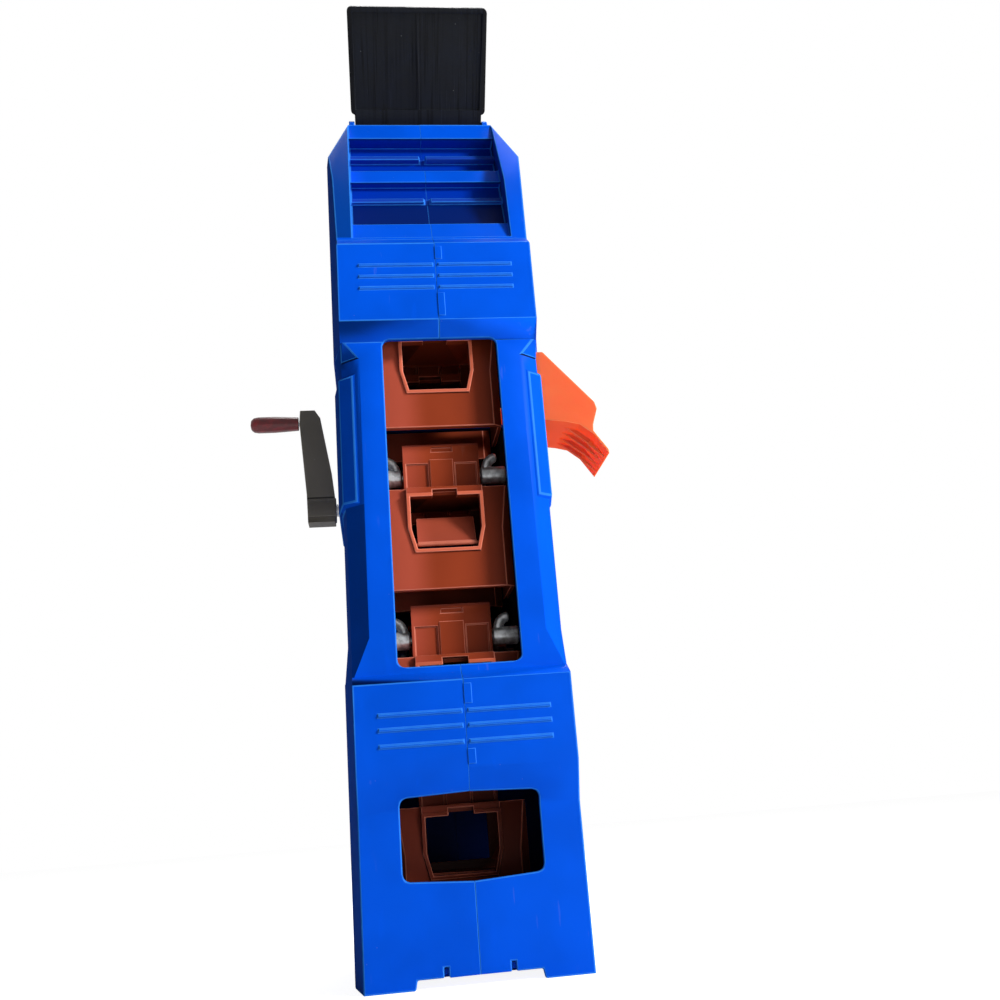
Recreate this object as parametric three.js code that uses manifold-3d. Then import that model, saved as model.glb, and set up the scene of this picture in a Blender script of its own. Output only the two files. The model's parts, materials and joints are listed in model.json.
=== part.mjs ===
import * as THREE from 'three'
import { mergeVertices } from 'three/addons/utils/BufferGeometryUtils.js'
import { ConvexGeometry } from 'three/addons/geometries/ConvexGeometry.js'
import Module from 'manifold-3d'

// Toy parking garage with a paternoster lift. Millimetres, Z up, front towards -Y.
// The origin is on the floor, below the middle plane of the lift loop.

const wasm = await Module()
wasm.setup()

// Materials: colour, roughness, metalness
const blue = { color: 0x0b5fe8, roughness: 0.42, metalness: 0 }
const orange = { color: 0xe8592c, roughness: 0.45, metalness: 0 }
const black = { color: 0x1b1e24, roughness: 0.5, metalness: 0 }
const linkGrey = { color: 0x77777a, roughness: 0.5, metalness: 0 }
const armGrey = { color: 0x4d4942, roughness: 0.5, metalness: 0 }
const darkRed = { color: 0x7d1420, roughness: 0.4, metalness: 0 }
const steel = { color: 0xb4b7bc, roughness: 0.3, metalness: 1 }
const rubber = { color: 0x26262a, roughness: 0.8, metalness: 0 }
const palePlastic = { color: 0xd9d7cf, roughness: 0.5, metalness: 0 }

// Clearances
const seamGap = 0.3
const restGap = 0.3
const runningFit = 0.1
const cutOvershoot = 4
const mergeTolerance = 0.0001
const wall = 2.6

// Turn counts and segment counts
const roundSegments = 16
const smallSegments = 12
const pulleySegments = 20
const bendSegments = 14
const plateSegments = 5
const cornerSegments = 3
const leastCornerTurn = 0.2

// Lift loop
const loopPitch = 100
const pitchesPerTurn = 2
const loopRadius = pitchesPerTurn * loopPitch / (2 * Math.PI)
const straightPitches = 3
const lowerAxisZ = 134
const upperAxisZ = lowerAxisZ + straightPitches * loopPitch
const crankPitchShare = 1.41
const crankAxisZ = lowerAxisZ + crankPitchShare * loopPitch
const middleShare = 0.5

// Tower widths, seen from the front
const frontHalfWidth = 60
const sideOutset = 5
const sideHalfWidth = frontHalfWidth + sideOutset
const padProud = 2.5
const midCornerHalfWidth = frontHalfWidth
const midHalfWidth = sideHalfWidth - padProud
const bezelInset = 10.2
const bezelHalfWidth = frontHalfWidth - bezelInset
const roofInset = 10
const roofHalfWidth = frontHalfWidth - roofInset

// Tower depths
const carrierReach = 20
const carrierBackReach = 22
const runRoom = 10.17
const faceY = -loopRadius - carrierReach - runRoom
const browStep = 9
const browY = faceY - browStep
const midCornerStep = 8
const midCornerY = faceY + midCornerStep
const cheekStep = 9
const cheekY = faceY + cheekStep
const splayStep = 30
const splayY = faceY + splayStep
const roofFrontStep = 46
const roofFrontY = faceY + roofFrontStep
const backY = loopRadius + carrierBackReach + runRoom
const backSplayStep = 12
const backSplayY = backY - backSplayStep
const roofBackStep = 12
const roofBackY = backY - roofBackStep

// Tower heights, from the lower and the upper axis of the loop
const lowWindowFootDrop = 81.4
const lowWindowFootZ = lowerAxisZ - lowWindowFootDrop
const chinDrop = 47
const chinZ = lowerAxisZ - chinDrop
const lowWindowHeadDrop = 38
const lowWindowHeadZ = lowerAxisZ - lowWindowHeadDrop
const lowerBrowFootDrop = 26.5
const lowerBrowFootZ = lowerAxisZ - lowerBrowFootDrop
const lowerBrowHeadRise = 21.4
const lowerBrowHeadZ = lowerAxisZ + lowerBrowHeadRise
const bezelFootRise = 26.7
const bezelFootZ = lowerAxisZ + bezelFootRise
const windowFootRise = 30.65
const windowFootZ = lowerAxisZ + windowFootRise
const flareHeadRise = 48
const flareHeadZ = lowerAxisZ + flareHeadRise
const upperFlareDrop = 82
const upperFlareZ = upperAxisZ - upperFlareDrop
const bezelHeadDrop = 72.2
const bezelHeadZ = upperAxisZ - bezelHeadDrop
const windowHeadDrop = 71
const windowHeadZ = upperAxisZ - windowHeadDrop
const upperBrowFootDrop = 62
const upperBrowFootZ = upperAxisZ - upperBrowFootDrop
const upperBrowHeadDrop = 9.8
const upperBrowHeadZ = upperAxisZ - upperBrowHeadDrop
const shoulderDrop = 2
const shoulderZ = upperAxisZ - shoulderDrop
const cheekRise = 48
const cheekZ = upperAxisZ + cheekRise
const cornerCutRise = 71
const cornerCutZ = upperAxisZ + cornerCutRise
const backTopRise = 98
const backTopZ = upperAxisZ + backTopRise
const roofRise = 116
const roofZ = upperAxisZ + roofRise

// Side pads
const padFootDrop = 15
const padFootZ = crankAxisZ - padFootDrop
const padHeadRise = 68
const padHeadZ = crankAxisZ + padHeadRise
const padFrontShare = 0.15
const padRaisedShare = 0.32
const padFlankProud = 1.4
const padCornerOutset = 2
const padCornerStep = 1
const padBackStep = 6
const padBackY = backSplayY - padBackStep

// Windows
const windowInset = 15
const windowHalfWidth = bezelHalfWidth - windowInset
const windowCorner = 4
const lowWindowInset = 22.4
const lowWindowHalfWidth = frontHalfWidth - lowWindowInset
const lowWindowBow = 1.4
const lowWindowFootBow = 2.2
const lowWindowCorner = 4

// Foot cut-out and slots
const footInset = 27.5
const footHalfWidth = frontHalfWidth - footInset
const footSlope = 2
const footHeight = 4.8
const slotGap = 15
const slotX = footHalfWidth - slotGap
const slotHalfWidth = 1.2
const slotHeight = 5

// Brow ribs, and the raised strips beside the seam above and below them
const ribHalfLengthInset = 13
const ribHalfLength = frontHalfWidth - ribHalfLengthInset
const ribHalfHeight = 1.3
const ribProud = 1.1
const ribSeamHalf = 1.6
const ribRoot = 1
const upperRibRises = [-25, -32.6, -40.4]
const lowerRibRises = [4.2, -3.6, -12.2]
const upperRibZ = upperRibRises.map(rise => upperAxisZ + rise)
const lowerRibZ = lowerRibRises.map(rise => lowerAxisZ + rise)
const seamStripWidth = 4.2
const seamStripProud = 0.5
const seamStripMargin = 2.6

// Louvres between the cheeks
const louvreHalfWidth = roofHalfWidth
const louvreFootStep = 2
const louvreFootY = faceY + louvreFootStep
const louvreFootZ = upperAxisZ
const louvreHeadDrop = 2.5
const louvreHeadZ = roofZ - louvreHeadDrop
const lowPocketRises = { foot: 13.5, slat: 40, head: 54.5 }
const lowPocketDepth = 6.9
const highPocketRises = { foot: 66.5, slat: 86.5, head: 101.5 }
const highPocketDepth = 12
const lowPocket = pocketAt(lowPocketRises, lowPocketDepth)
const highPocket = pocketAt(highPocketRises, highPocketDepth)
const louvreRailZ = middleShare * (lowPocket.headZ + highPocket.footZ)
const slatHalfHeight = 2.2
const slatDepthShare = 0.55
const slatSeamHalf = 2

// Side outlet and loading hole in the right half
const outletFrontY = -loopRadius - carrierReach
const outletBackStep = 48
const outletBackY = outletFrontY + outletBackStep
const outletFootDrop = 125.5
const outletFootZ = upperAxisZ - outletFootDrop
const outletHeadDrop = 76
const outletHeadZ = upperAxisZ - outletHeadDrop
const loadFrontY = -16
const loadBackY = 20
const loadFootDrop = 78
const loadFootZ = lowerAxisZ - loadFootDrop
const loadHeadDrop = 52
const loadHeadZ = lowerAxisZ - loadHeadDrop
const loadCorner = 3

// Shell screws and their bosses
const bossRadius = 4.4
const screwRadius = 1.5
const screwHeadRadius = 3
const screwHeadDepth = 2.4
const screwReach = 14
const lowScrewRise = 56
const middleScrewDrop = 104
const highScrewY = -2
const highScrewRise = 90
const backScrewStep = 10
const backScrewRise = 66
const screwSites = [
  [0, lowerAxisZ + lowScrewRise],
  [0, upperAxisZ - middleScrewDrop],
  [highScrewY, upperAxisZ + highScrewRise],
  [backSplayY - backScrewStep, upperAxisZ + backScrewRise],
]

// Belt and pulleys
const beltThickness = 1.6
const beltInnerGap = 17
const beltInnerX = -frontHalfWidth + beltInnerGap
const beltWidth = 6
const beltOuterX = beltInnerX - beltWidth
const pulleyRimInnerInset = 4.8
const pulleyRimInner = loopRadius - pulleyRimInnerInset
const pulleyWeb = 2.4
const pulleyHubRadius = 7.5
const pulleyFlange = 1.5
const pulleyFlangeReach = 2.6

// Axles and the drive shaft
const axleRadius = 3
const axleBossRadius = 8
const axleBossGap = 4
const axleBossX = beltOuterX - axleBossGap
const axleSkin = 2
const axleHeadRadius = 4.5
const axleHeadDepth = 1.5
const shaftRadius = 4
const bushWall = 2.4
const bushFlange = 2
const bushFlangeRadiusExtra = 5.5
const bushFlangeRadius = shaftRadius + bushFlangeRadiusExtra
const shaftBossRadiusExtra = 6
const shaftBossRadius = shaftRadius + shaftBossRadiusExtra

// Carriers, measured from their pivots
const carrierX = -2
const carrierInset = 22
const carrierHalfWidth = frontHalfWidth - carrierInset
const carrierBevelInset = 5
const carrierBevelHalf = carrierHalfWidth - carrierBevelInset
const carrierBevelStep = 4
const carrierBevelY = -carrierReach + carrierBevelStep
const carrierTopZ = -12
const carrierFootZ = -74
const carrierWall = 2.5
const frontWall = 5
const bayFloorHighRise = 25.8
const bayFloorHighZ = carrierFootZ + bayFloorHighRise
const bayFloorLowDrop = 1.8
const bayFloorLowZ = bayFloorHighZ - bayFloorLowDrop
const bayHeadDrop = 4
const bayHeadZ = carrierTopZ - bayHeadDrop
const openingInset = 17.4
const openingHalfWidth = carrierHalfWidth - openingInset
const openingHeadDrop = 2
const openingHeadZ = bayHeadZ - openingHeadDrop
const openingTaperRise = 10.5
const openingTaperZ = bayFloorHighZ + openingTaperRise
const openingFootInset = 3.1
const openingFootHalf = openingHalfWidth - openingFootInset
const openingFootDrop = 1.7
const openingFootZ = bayFloorHighZ - openingFootDrop
const openingNotchHalf = 7.2
const openingNotchRise = 2.2
const openingNotchZ = bayHeadZ + openingNotchRise
const backWindowInset = 2
const backWindowHalf = openingHalfWidth - backWindowInset
const backWindowFootRise = 4
const backWindowFootZ = bayFloorHighZ + backWindowFootRise
const rimWidth = 2.2
const rimProud = 1.2
const rimRoot = 1
const stripHalfWidth = openingHalfWidth + rimWidth
const shoulderCutRise = 35.5
const shoulderCutZ = carrierFootZ + shoulderCutRise
const shoulderCutStep = 3
const neckInset = 14.7
const neckHalfWidth = carrierHalfWidth - neckInset
const neckFrontY = -8
const neckBackStep = 2.6
const neckBackY = neckFrontY + neckBackStep
const neckHubRadius = 5
const neckHeadZ = 19.5
const neckFootDrop = 2
const neckFootZ = carrierTopZ - neckFootDrop
const neckPocket = 1.2
const neckBevel = 2
const neckPocketShares = [[-0.92, -0.36], [0.36, 0.92]]
const neckStripShare = 0.3
const neckStripProud = 0.6
const neckStripRise = 2.4
const neckPocketFootRise = 0.1
const neckPocketFootZ = neckFootZ + neckPocketFootRise
const neckPocketHeadDrop = 13
const neckPocketHeadZ = neckHeadZ - neckPocketHeadDrop
const neckSlotStartX = -6
const neckSlotEndX = 7
const neckSlotFootDrop = 5.5
const neckSlotHeadDrop = 2.5
const neckSlot = {
  startX: neckSlotStartX,
  endX: neckSlotEndX,
  footZ: neckHeadZ - neckSlotFootDrop,
  headZ: neckHeadZ - neckSlotHeadDrop,
}
const skirtBackRise = 14
const skirtBackZ = carrierFootZ + skirtBackRise
const neckBore = 2

// Hanger links and belt shoes
const linkGap = 0.9
const linkPlate = 3.5
const linkPlateX = neckHalfWidth + linkGap
const linkBossRadius = 5.5
const linkRightEndOutset = 2
const linkRightEnd = carrierHalfWidth + linkRightEndOutset
const linkLeadZ = 11.2
const linkLeadRadius = 3
const linkLeadEndInset = 3
const linkLeadEnd = carrierHalfWidth - linkLeadEndInset
const linkPlateRadius = linkBossRadius
const shoeCheek = 1.5
const shoeRadius = 3.6
const shoeHalfHeight = 7
const shoeThickness = 2.4
const followerRadius = 3.5

// Guide track on the right side
const trackInnerGap = 17
const trackInnerX = frontHalfWidth - trackInnerGap
const trackPlateGap = 5
const trackPlateX = frontHalfWidth - trackPlateGap
const trackOuterGap = 2
const trackOuterX = frontHalfWidth - trackOuterGap
const trackGroove = followerRadius + restGap
const trackRail = 2.2
const trackPad = 1.4
const trackPadHalf = 4
const lowPadRise = 66
const highPadDrop = 34
const trackPadZ = [lowerAxisZ + lowPadRise, crankAxisZ, upperAxisZ - highPadDrop]
const trackGapFootDrop = 128
const trackGapFootZ = upperAxisZ - trackGapFootDrop
const trackGapHeadDrop = 82
const trackGapHeadZ = upperAxisZ - trackGapHeadDrop

// Stop flap in the middle carrier
const flapInset = 3
const flapHalfWidth = openingHalfWidth - flapInset
const flapThickness = 1.6
const flapLength = 20.5
const flapPivotStep = 2.8
const flapPivotY = -carrierReach + flapPivotStep
const flapPivotRise = 1.8
const flapPivotZ = bayFloorHighZ + flapPivotRise
const flapBarrel = 1.4
const flapPinRadius = 0.9
const flapPinReach = 3
const flapLean = 0.5

// Chute, as reaches out from the front's half width and drops from the upper axis
const chuteThickness = 2.5
const chuteTopReaches = [[0, -119.5], [16, -121.5], [24, -123.5], [32, -130], [40.5, -142.8]]
const chuteTopLine = chuteTopReaches.map(([reach, rise]) => [frontHalfWidth + reach, upperAxisZ + rise])
const chuteRibDepth = 2.4
const chuteRibHalf = 1
const chuteRibSteps = [10, 19, 29, 38]
const chuteRibY = chuteRibSteps.map(step => outletFrontY + step)
const guardReaches = [[0, -76.4], [5, -76.4], [34.6, -111], [35.8, -115.5], [32.4, -126]]
const guardLine = guardReaches.map(([reach, rise]) => [frontHalfWidth + reach, upperAxisZ + rise])
const guardThickness = 2.4
const tongueGap = 2.6
const tongueX = carrierX + carrierHalfWidth + tongueGap
const tongueDrop = 102.5
const tongueZ = upperAxisZ - tongueDrop
const tongueSteps = [[2.8, 14.8], [25.8, 45]]
const tongueSpans = tongueSteps.map(span => span.map(step => outletFrontY + step))

// Crank, as reaches out from the side and heights from the drive shaft
const crankHubRadiusExtra = 4
const crankHubRadius = shaftRadius + crankHubRadiusExtra
const crankHubInnerGap = 2.4
const crankHubInnerX = -sideHalfWidth - crankHubInnerGap
const crankHubOuterGap = 17.6
const crankHubOuterX = crankHubInnerX - crankHubOuterGap
const crankHalfDepth = 6
const crankShaftDepthGap = 3
const crankShaftDepthX = crankHubOuterX + crankShaftDepthGap
const crankArmReaches = [
  [3, -9], [3, 9], [4.4, 23], [10.6, 61], [14, 66.5], [23.4, 66.5], [24, 58], [20.4, 9], [20, -9],
]
const crankArmLine = crankArmReaches.map(([reach, rise]) => [-sideHalfWidth - reach, crankAxisZ + rise])
const gripOffset = 59.5
const gripInnerGap = 24.4
const gripInnerX = -sideHalfWidth - gripInnerGap
const gripLength = 31
const gripRadius = 5.2
const gripNeck = 4.4
const gripPinRadius = 1.8
const gripPinReach = 26
const gripPinRoot = 7
const gripTipShares = [[0.6, 0.12], [0.9, 0.45], [1, 1]]

// Landing flap on the roof
const deckHingeY = -2
const deckHingeRise = 8
const deckHingeZ = roofZ + deckHingeRise
const deckInset = 2.5
const deckHalfWidth = roofHalfWidth - deckInset
const deckBarrelInset = 2.6
const deckBarrelHalf = deckHalfWidth - deckBarrelInset
const deckLength = 79
const deckThickness = 4
const deckRecess = 1.6
const deckRim = 3.4
const deckCorner = 3
const deckNotch = 9
const deckBarrel = 3.4
const deckRodRadius = 1.5
const deckRidgeHalf = 0.8
const deckRidge = 0.8
const deckLeanDegrees = 49.1
const lugInnerGap = 0.4
const lugInnerX = deckBarrelHalf + lugInnerGap
const lugOuterGap = 4
const lugOuterX = lugInnerX + lugOuterGap
const lugRadius = 4
const lugCornerShare = 0.5
const lugFootHalf = 7

// Base plate
const baseRestY = -22
const baseStepStep = 3
const baseStepY = baseRestY - baseStepStep
const baseLiftZ = 6
const baseThickness = 3
const baseBossGap = 6
const baseBossX = midHalfWidth - baseBossGap
const baseBossY = 30
const baseBossRadius = 6
const baseBossZ = 16
const baseScrewHeadZ = 0.6
const baseScrewHead = 1.6

function pocketAt(rises, depth) {
  return {
    footZ: louvreFootZ + rises.foot,
    slatZ: louvreFootZ + rises.slat,
    headZ: louvreFootZ + rises.head,
    depth,
  }
}

// Placements of a flat outline: along X, along Y and along Z
const alongX = new THREE.Matrix4().makeBasis(
  new THREE.Vector3(0, 1, 0),
  new THREE.Vector3(0, 0, 1),
  new THREE.Vector3(1, 0, 0),
)
const alongY = new THREE.Matrix4().makeBasis(
  new THREE.Vector3(1, 0, 0),
  new THREE.Vector3(0, 0, 1),
  new THREE.Vector3(0, -1, 0),
)
const alongZ = new THREE.Matrix4()

// Corners that meet are joined, so that the surface is closed
function welded(geometry) {
  const plain = geometry.clone()
  plain.deleteAttribute('normal')
  plain.deleteAttribute('uv')
  return mergeVertices(plain, mergeTolerance)
}

function solid(geometry) {
  const merged = welded(geometry)
  return new wasm.Manifold(new wasm.Mesh({
    numProp: 3,
    vertProperties: new Float32Array(merged.attributes.position.array),
    triVerts: new Uint32Array(merged.index.array),
  }))
}

function extruded(outline, start, end, placement) {
  const shape = new THREE.Shape(outline.map(([u, v]) => new THREE.Vector2(u, v)))
  const geometry = new THREE.ExtrudeGeometry(shape, { depth: end - start, bevelEnabled: false })
  geometry.translate(0, 0, start)
  geometry.applyMatrix4(placement)
  return solid(geometry)
}

// Outlines in (y, z), (x, z) and (x, y)
function barX(outline, startX, endX) {
  return extruded(outline, startX, endX, alongX)
}

function barY(outline, startY, endY) {
  return extruded(outline, -endY, -startY, alongY)
}

function barZ(outline, startZ, endZ) {
  return extruded(outline, startZ, endZ, alongZ)
}

function rectangle(startU, endU, startV, endV) {
  return [[startU, startV], [endU, startV], [endU, endV], [startU, endV]]
}

function block(startX, endX, startY, endY, startZ, endZ) {
  return barZ(rectangle(startX, endX, startY, endY), startZ, endZ)
}

// Solid of revolution round a line along X; profile in (radius, x)
function turnedX(profile, centreY, centreZ, segments) {
  const points = profile.map(([radius, x]) => new THREE.Vector2(radius, x))
  const geometry = new THREE.LatheGeometry(points, segments)
  geometry.rotateZ(-Math.PI / 2)
  geometry.translate(0, centreY, centreZ)
  return outward(solid(geometry), geometry)
}

// A lathe profile may run either way round, so its triangles are turned outward
function outward(made, geometry) {
  if (made.volume() > 0) {
    return made
  }
  const flipped = welded(geometry)
  const index = flipped.index.array
  for (let corner = 0; corner < index.length; corner += 3) {
    const kept = index[corner]
    index[corner] = index[corner + 1]
    index[corner + 1] = kept
  }
  return solid(flipped)
}

function rodX(radius, startX, endX, centreY, centreZ, segments = roundSegments) {
  const profile = [[0, startX], [radius, startX], [radius, endX], [0, endX]]
  return turnedX(profile, centreY, centreZ, segments)
}

function rodZ(radius, centreX, centreY, startZ, endZ) {
  const geometry = new THREE.CylinderGeometry(radius, radius, endZ - startZ, smallSegments)
  geometry.rotateX(Math.PI / 2)
  geometry.translate(centreX, centreY, middleShare * (startZ + endZ))
  return solid(geometry)
}

function hull(points) {
  return solid(new ConvexGeometry(points.map(([x, y, z]) => new THREE.Vector3(x, y, z))))
}

function joined(solids) {
  return solids.reduce((sum, next) => sum.add(next))
}

// Mirrored to both sides of the seam: an outline of the right side, closed on the left
function bothSides(outline) {
  const left = outline.map(([x, v]) => [-x, v]).reverse()
  return [...outline, ...left]
}

// Corners of an outline replaced by arcs
function rounded(outline, radius) {
  const points = []
  outline.forEach((corner, i) => {
    const here = new THREE.Vector2(...corner)
    const before = new THREE.Vector2(...outline.at(i - 1)).sub(here).normalize()
    const after = new THREE.Vector2(...outline[(i + 1) % outline.length]).sub(here).normalize()
    const half = Math.acos(THREE.MathUtils.clamp(before.dot(after), -1, 1)) / 2
    if (Math.PI / 2 - half < leastCornerTurn) {
      points.push(corner)
      return
    }
    const centre = before.clone().add(after).normalize().multiplyScalar(radius / Math.sin(half)).add(here)
    const from = before.multiplyScalar(radius / Math.tan(half)).add(here).sub(centre)
    const to = after.multiplyScalar(radius / Math.tan(half)).add(here).sub(centre)
    const sweep = Math.atan2(from.cross(to), from.dot(to))
    for (let step = 0; step <= cornerSegments; step += 1) {
      const turned = from.clone().rotateAround(new THREE.Vector2(), sweep * step / cornerSegments)
      points.push([centre.x + turned.x, centre.y + turned.y])
    }
  })
  return points
}

// An outline moved inward by a distance, whichever way round it runs
function inset(outline, distance) {
  const area = THREE.ShapeUtils.area(outline.map(([u, v]) => new THREE.Vector2(u, v)))
  const side = Math.sign(area)
  return outline.map((corner, i) => {
    const here = new THREE.Vector2(...corner)
    const into = here.clone().sub(new THREE.Vector2(...outline.at(i - 1))).normalize()
    const away = new THREE.Vector2(...outline[(i + 1) % outline.length]).sub(here).normalize()
    const normalIn = new THREE.Vector2(-into.y, into.x).multiplyScalar(side)
    const normalOut = new THREE.Vector2(-away.y, away.x).multiplyScalar(side)
    const reach = distance / (1 + normalIn.dot(normalOut))
    return [here.x + reach * (normalIn.x + normalOut.x), here.y + reach * (normalIn.y + normalOut.y)]
  })
}

// A closed loop: two half circles joined by straights, round the two loop axes
function racetrack(radius) {
  const points = []
  for (let step = 0; step <= bendSegments; step += 1) {
    const angle = Math.PI * step / bendSegments
    points.push([radius * Math.cos(angle), upperAxisZ + radius * Math.sin(angle)])
  }
  for (let step = 0; step <= bendSegments; step += 1) {
    const angle = Math.PI * (1 + step / bendSegments)
    points.push([radius * Math.cos(angle), lowerAxisZ + radius * Math.sin(angle)])
  }
  return points
}

function loopBand(inner, outer, startX, endX) {
  return barX(racetrack(outer), startX, endX)
    .subtract(barX(racetrack(inner), startX - cutOvershoot, endX + cutOvershoot))
}

// Housing
const wideSection = bothSides([
  [frontHalfWidth, browY - cutOvershoot],
  [frontHalfWidth, faceY],
  [sideHalfWidth, splayY],
  [sideHalfWidth, backSplayY],
  [frontHalfWidth, backY],
])
const wideBehindFace = bothSides([
  [frontHalfWidth, faceY],
  [sideHalfWidth, splayY],
  [sideHalfWidth, backSplayY],
  [frontHalfWidth, backY],
])
const midSection = bothSides([
  [bezelHalfWidth, faceY],
  [midCornerHalfWidth, midCornerY],
  [midHalfWidth, splayY],
  [midHalfWidth, backSplayY],
  [midCornerHalfWidth, backY],
])
const sideOutline = [
  [faceY, 0],
  [faceY, chinZ],
  [browY, lowerBrowFootZ],
  [browY, lowerBrowHeadZ],
  [faceY, bezelFootZ],
  [faceY, bezelHeadZ],
  [browY, upperBrowFootZ],
  [browY, upperBrowHeadZ],
  [faceY, shoulderZ],
  [cheekY, cheekZ],
  [roofFrontY, roofZ],
  [roofBackY, roofZ],
  [backY, backTopZ],
  [backY, 0],
]
const louvreRun = (roofFrontY - louvreFootY) / (louvreHeadZ - louvreFootZ)

function louvreY(z) {
  return louvreFootY + louvreRun * (z - louvreFootZ)
}

// The inside follows the louvre pockets instead of the cheeks
const coreOutline = [
  ...sideOutline.slice(0, sideOutline.findIndex(([, z]) => z === shoulderZ)),
  [faceY, shoulderZ - wall],
  [louvreY(louvreFootZ) + lowPocket.depth, louvreFootZ],
  [louvreY(louvreRailZ) + lowPocket.depth, louvreRailZ],
  [louvreY(louvreRailZ + wall) + highPocket.depth, louvreRailZ + wall],
  [louvreY(roofZ) + highPocket.depth, roofZ],
  ...sideOutline.slice(-3),
]

function sectionHull(lowSection, lowZ, highSection, highZ) {
  return hull([
    ...lowSection.map(([x, y]) => [x, y, lowZ]),
    ...highSection.map(([x, y]) => [x, y, highZ]),
  ])
}

function outerForm() {
  const top = roofZ + cutOvershoot
  const widths = joined([
    barZ(wideSection, 0, bezelFootZ),
    sectionHull(wideBehindFace, bezelFootZ - wall, midSection, flareHeadZ),
    barZ(midSection, bezelFootZ - wall, bezelHeadZ + wall),
    sectionHull(midSection, upperFlareZ, wideBehindFace, bezelHeadZ + wall),
    barZ(wideSection, bezelHeadZ, top),
  ])
  const frontOutline = bothSides([
    [sideHalfWidth + wall, -cutOvershoot],
    [sideHalfWidth + wall, cornerCutZ - wall],
    [sideHalfWidth, cornerCutZ],
    [roofHalfWidth, roofZ],
    [roofHalfWidth - wall, top],
  ])
  return widths
    .intersect(barX(sideOutline, -sideHalfWidth - wall, sideHalfWidth + wall))
    .intersect(barY(frontOutline, browY - cutOvershoot, backY + cutOvershoot))
}

function innerForm() {
  const wideInner = inset(wideSection, wall)
  const midInner = inset(midSection, wall)
  const coreInner = inset(coreOutline, wall).map(([y, z]) => [y, z < 2 * wall ? -cutOvershoot : z])
  const widths = joined([
    barZ(wideInner, -cutOvershoot, bezelFootZ - wall),
    barZ(midInner, lowerBrowHeadZ - wall, upperBrowFootZ),
    barZ(wideInner, bezelHeadZ + wall, roofZ),
  ])
  const frontInner = inset(bothSides([
    [sideHalfWidth + cutOvershoot, -2 * cutOvershoot],
    [sideHalfWidth + cutOvershoot, cornerCutZ - wall],
    [sideHalfWidth, cornerCutZ],
    [roofHalfWidth, roofZ],
  ]), wall)
  return widths
    .intersect(barX(coreInner, -sideHalfWidth, sideHalfWidth))
    .intersect(barY(frontInner, browY, backY))
}

function windowCuts() {
  const deep = faceY + wall + cutOvershoot
  const main = rounded(bothSides([
    [windowHalfWidth, windowFootZ],
    [windowHalfWidth, windowHeadZ],
  ]), windowCorner)
  const low = rounded([
    [0, lowWindowFootZ - lowWindowFootBow],
    [lowWindowHalfWidth, lowWindowFootZ],
    [lowWindowHalfWidth, lowWindowHeadZ - lowWindowBow],
    [0, lowWindowHeadZ],
    [-lowWindowHalfWidth, lowWindowHeadZ - lowWindowBow],
    [-lowWindowHalfWidth, lowWindowFootZ],
  ], lowWindowCorner)
  const foot = bothSides([
    [footHalfWidth + footSlope, -footHeight],
    [footHalfWidth, footHeight],
  ])
  const cuts = [
    barY(main, browY - cutOvershoot, deep),
    barY(low, browY - cutOvershoot, deep),
    barY(foot, browY - cutOvershoot, deep),
  ]
  for (const centre of [-slotX, slotX]) {
    cuts.push(block(
      centre - slotHalfWidth, centre + slotHalfWidth,
      browY, deep, 0, footHeight + slotHeight,
    ))
  }
  return joined(cuts)
}

function browRibs() {
  const ribs = []
  for (const z of [...upperRibZ, ...lowerRibZ]) {
    const outline = [
      [browY - ribProud, z - middleShare * ribHalfHeight],
      [browY - ribProud, z + middleShare * ribHalfHeight],
      [browY + ribRoot, z + ribHalfHeight],
      [browY + ribRoot, z - ribHalfHeight],
    ]
    ribs.push(barX(outline, -ribHalfLength, -ribSeamHalf))
    ribs.push(barX(outline, ribSeamHalf, ribHalfLength))
  }
  const strips = [
    [upperRibZ[0] + ribHalfHeight, upperBrowHeadZ],
    [upperBrowFootZ, upperRibZ[2] - ribHalfHeight],
    [lowerRibZ[0] + ribHalfHeight, lowerBrowHeadZ],
    [lowerBrowFootZ, lowerRibZ[2] - ribHalfHeight],
  ]
  for (const [footZ, headZ] of strips) {
    ribs.push(block(
      0, seamStripWidth, browY - seamStripProud, browY + ribRoot,
      footZ + seamStripMargin, headZ - seamStripMargin,
    ))
  }
  return joined(ribs)
}

// A point of the flank, from the window frame's edge at 0 to the tower's corner at 1
function flankPoint(share, proud) {
  const runX = midCornerHalfWidth - bezelHalfWidth
  const runY = midCornerY - faceY
  const run = Math.hypot(runX, runY)
  return [
    bezelHalfWidth + share * runX + proud * runY / run,
    faceY + share * runY - proud * runX / run,
  ]
}

// The pads wrap the tower's flanks and sides, with sloped edges above and below
function sidePads() {
  const root = [
    flankPoint(padFrontShare, -padFlankProud / 2),
    flankPoint(1, -padFlankProud / 2),
    [midHalfWidth - wall / 2, splayY],
    [midHalfWidth - wall / 2, padBackY],
  ]
  const raised = [
    flankPoint(padRaisedShare, padFlankProud),
    [midCornerHalfWidth + padCornerOutset, midCornerY - padCornerStep],
    [sideHalfWidth, splayY],
    [sideHalfWidth, padBackY - padProud],
  ]
  const pads = [-1, 1].map(side => hull([
    ...root.flatMap(([x, y]) => [[side * x, y, padFootZ], [side * x, y, padHeadZ]]),
    ...raised.flatMap(([x, y]) => [
      [side * x, y, padFootZ + padProud],
      [side * x, y, padHeadZ - padProud],
    ]),
  ]))
  return joined(pads)
}

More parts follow.
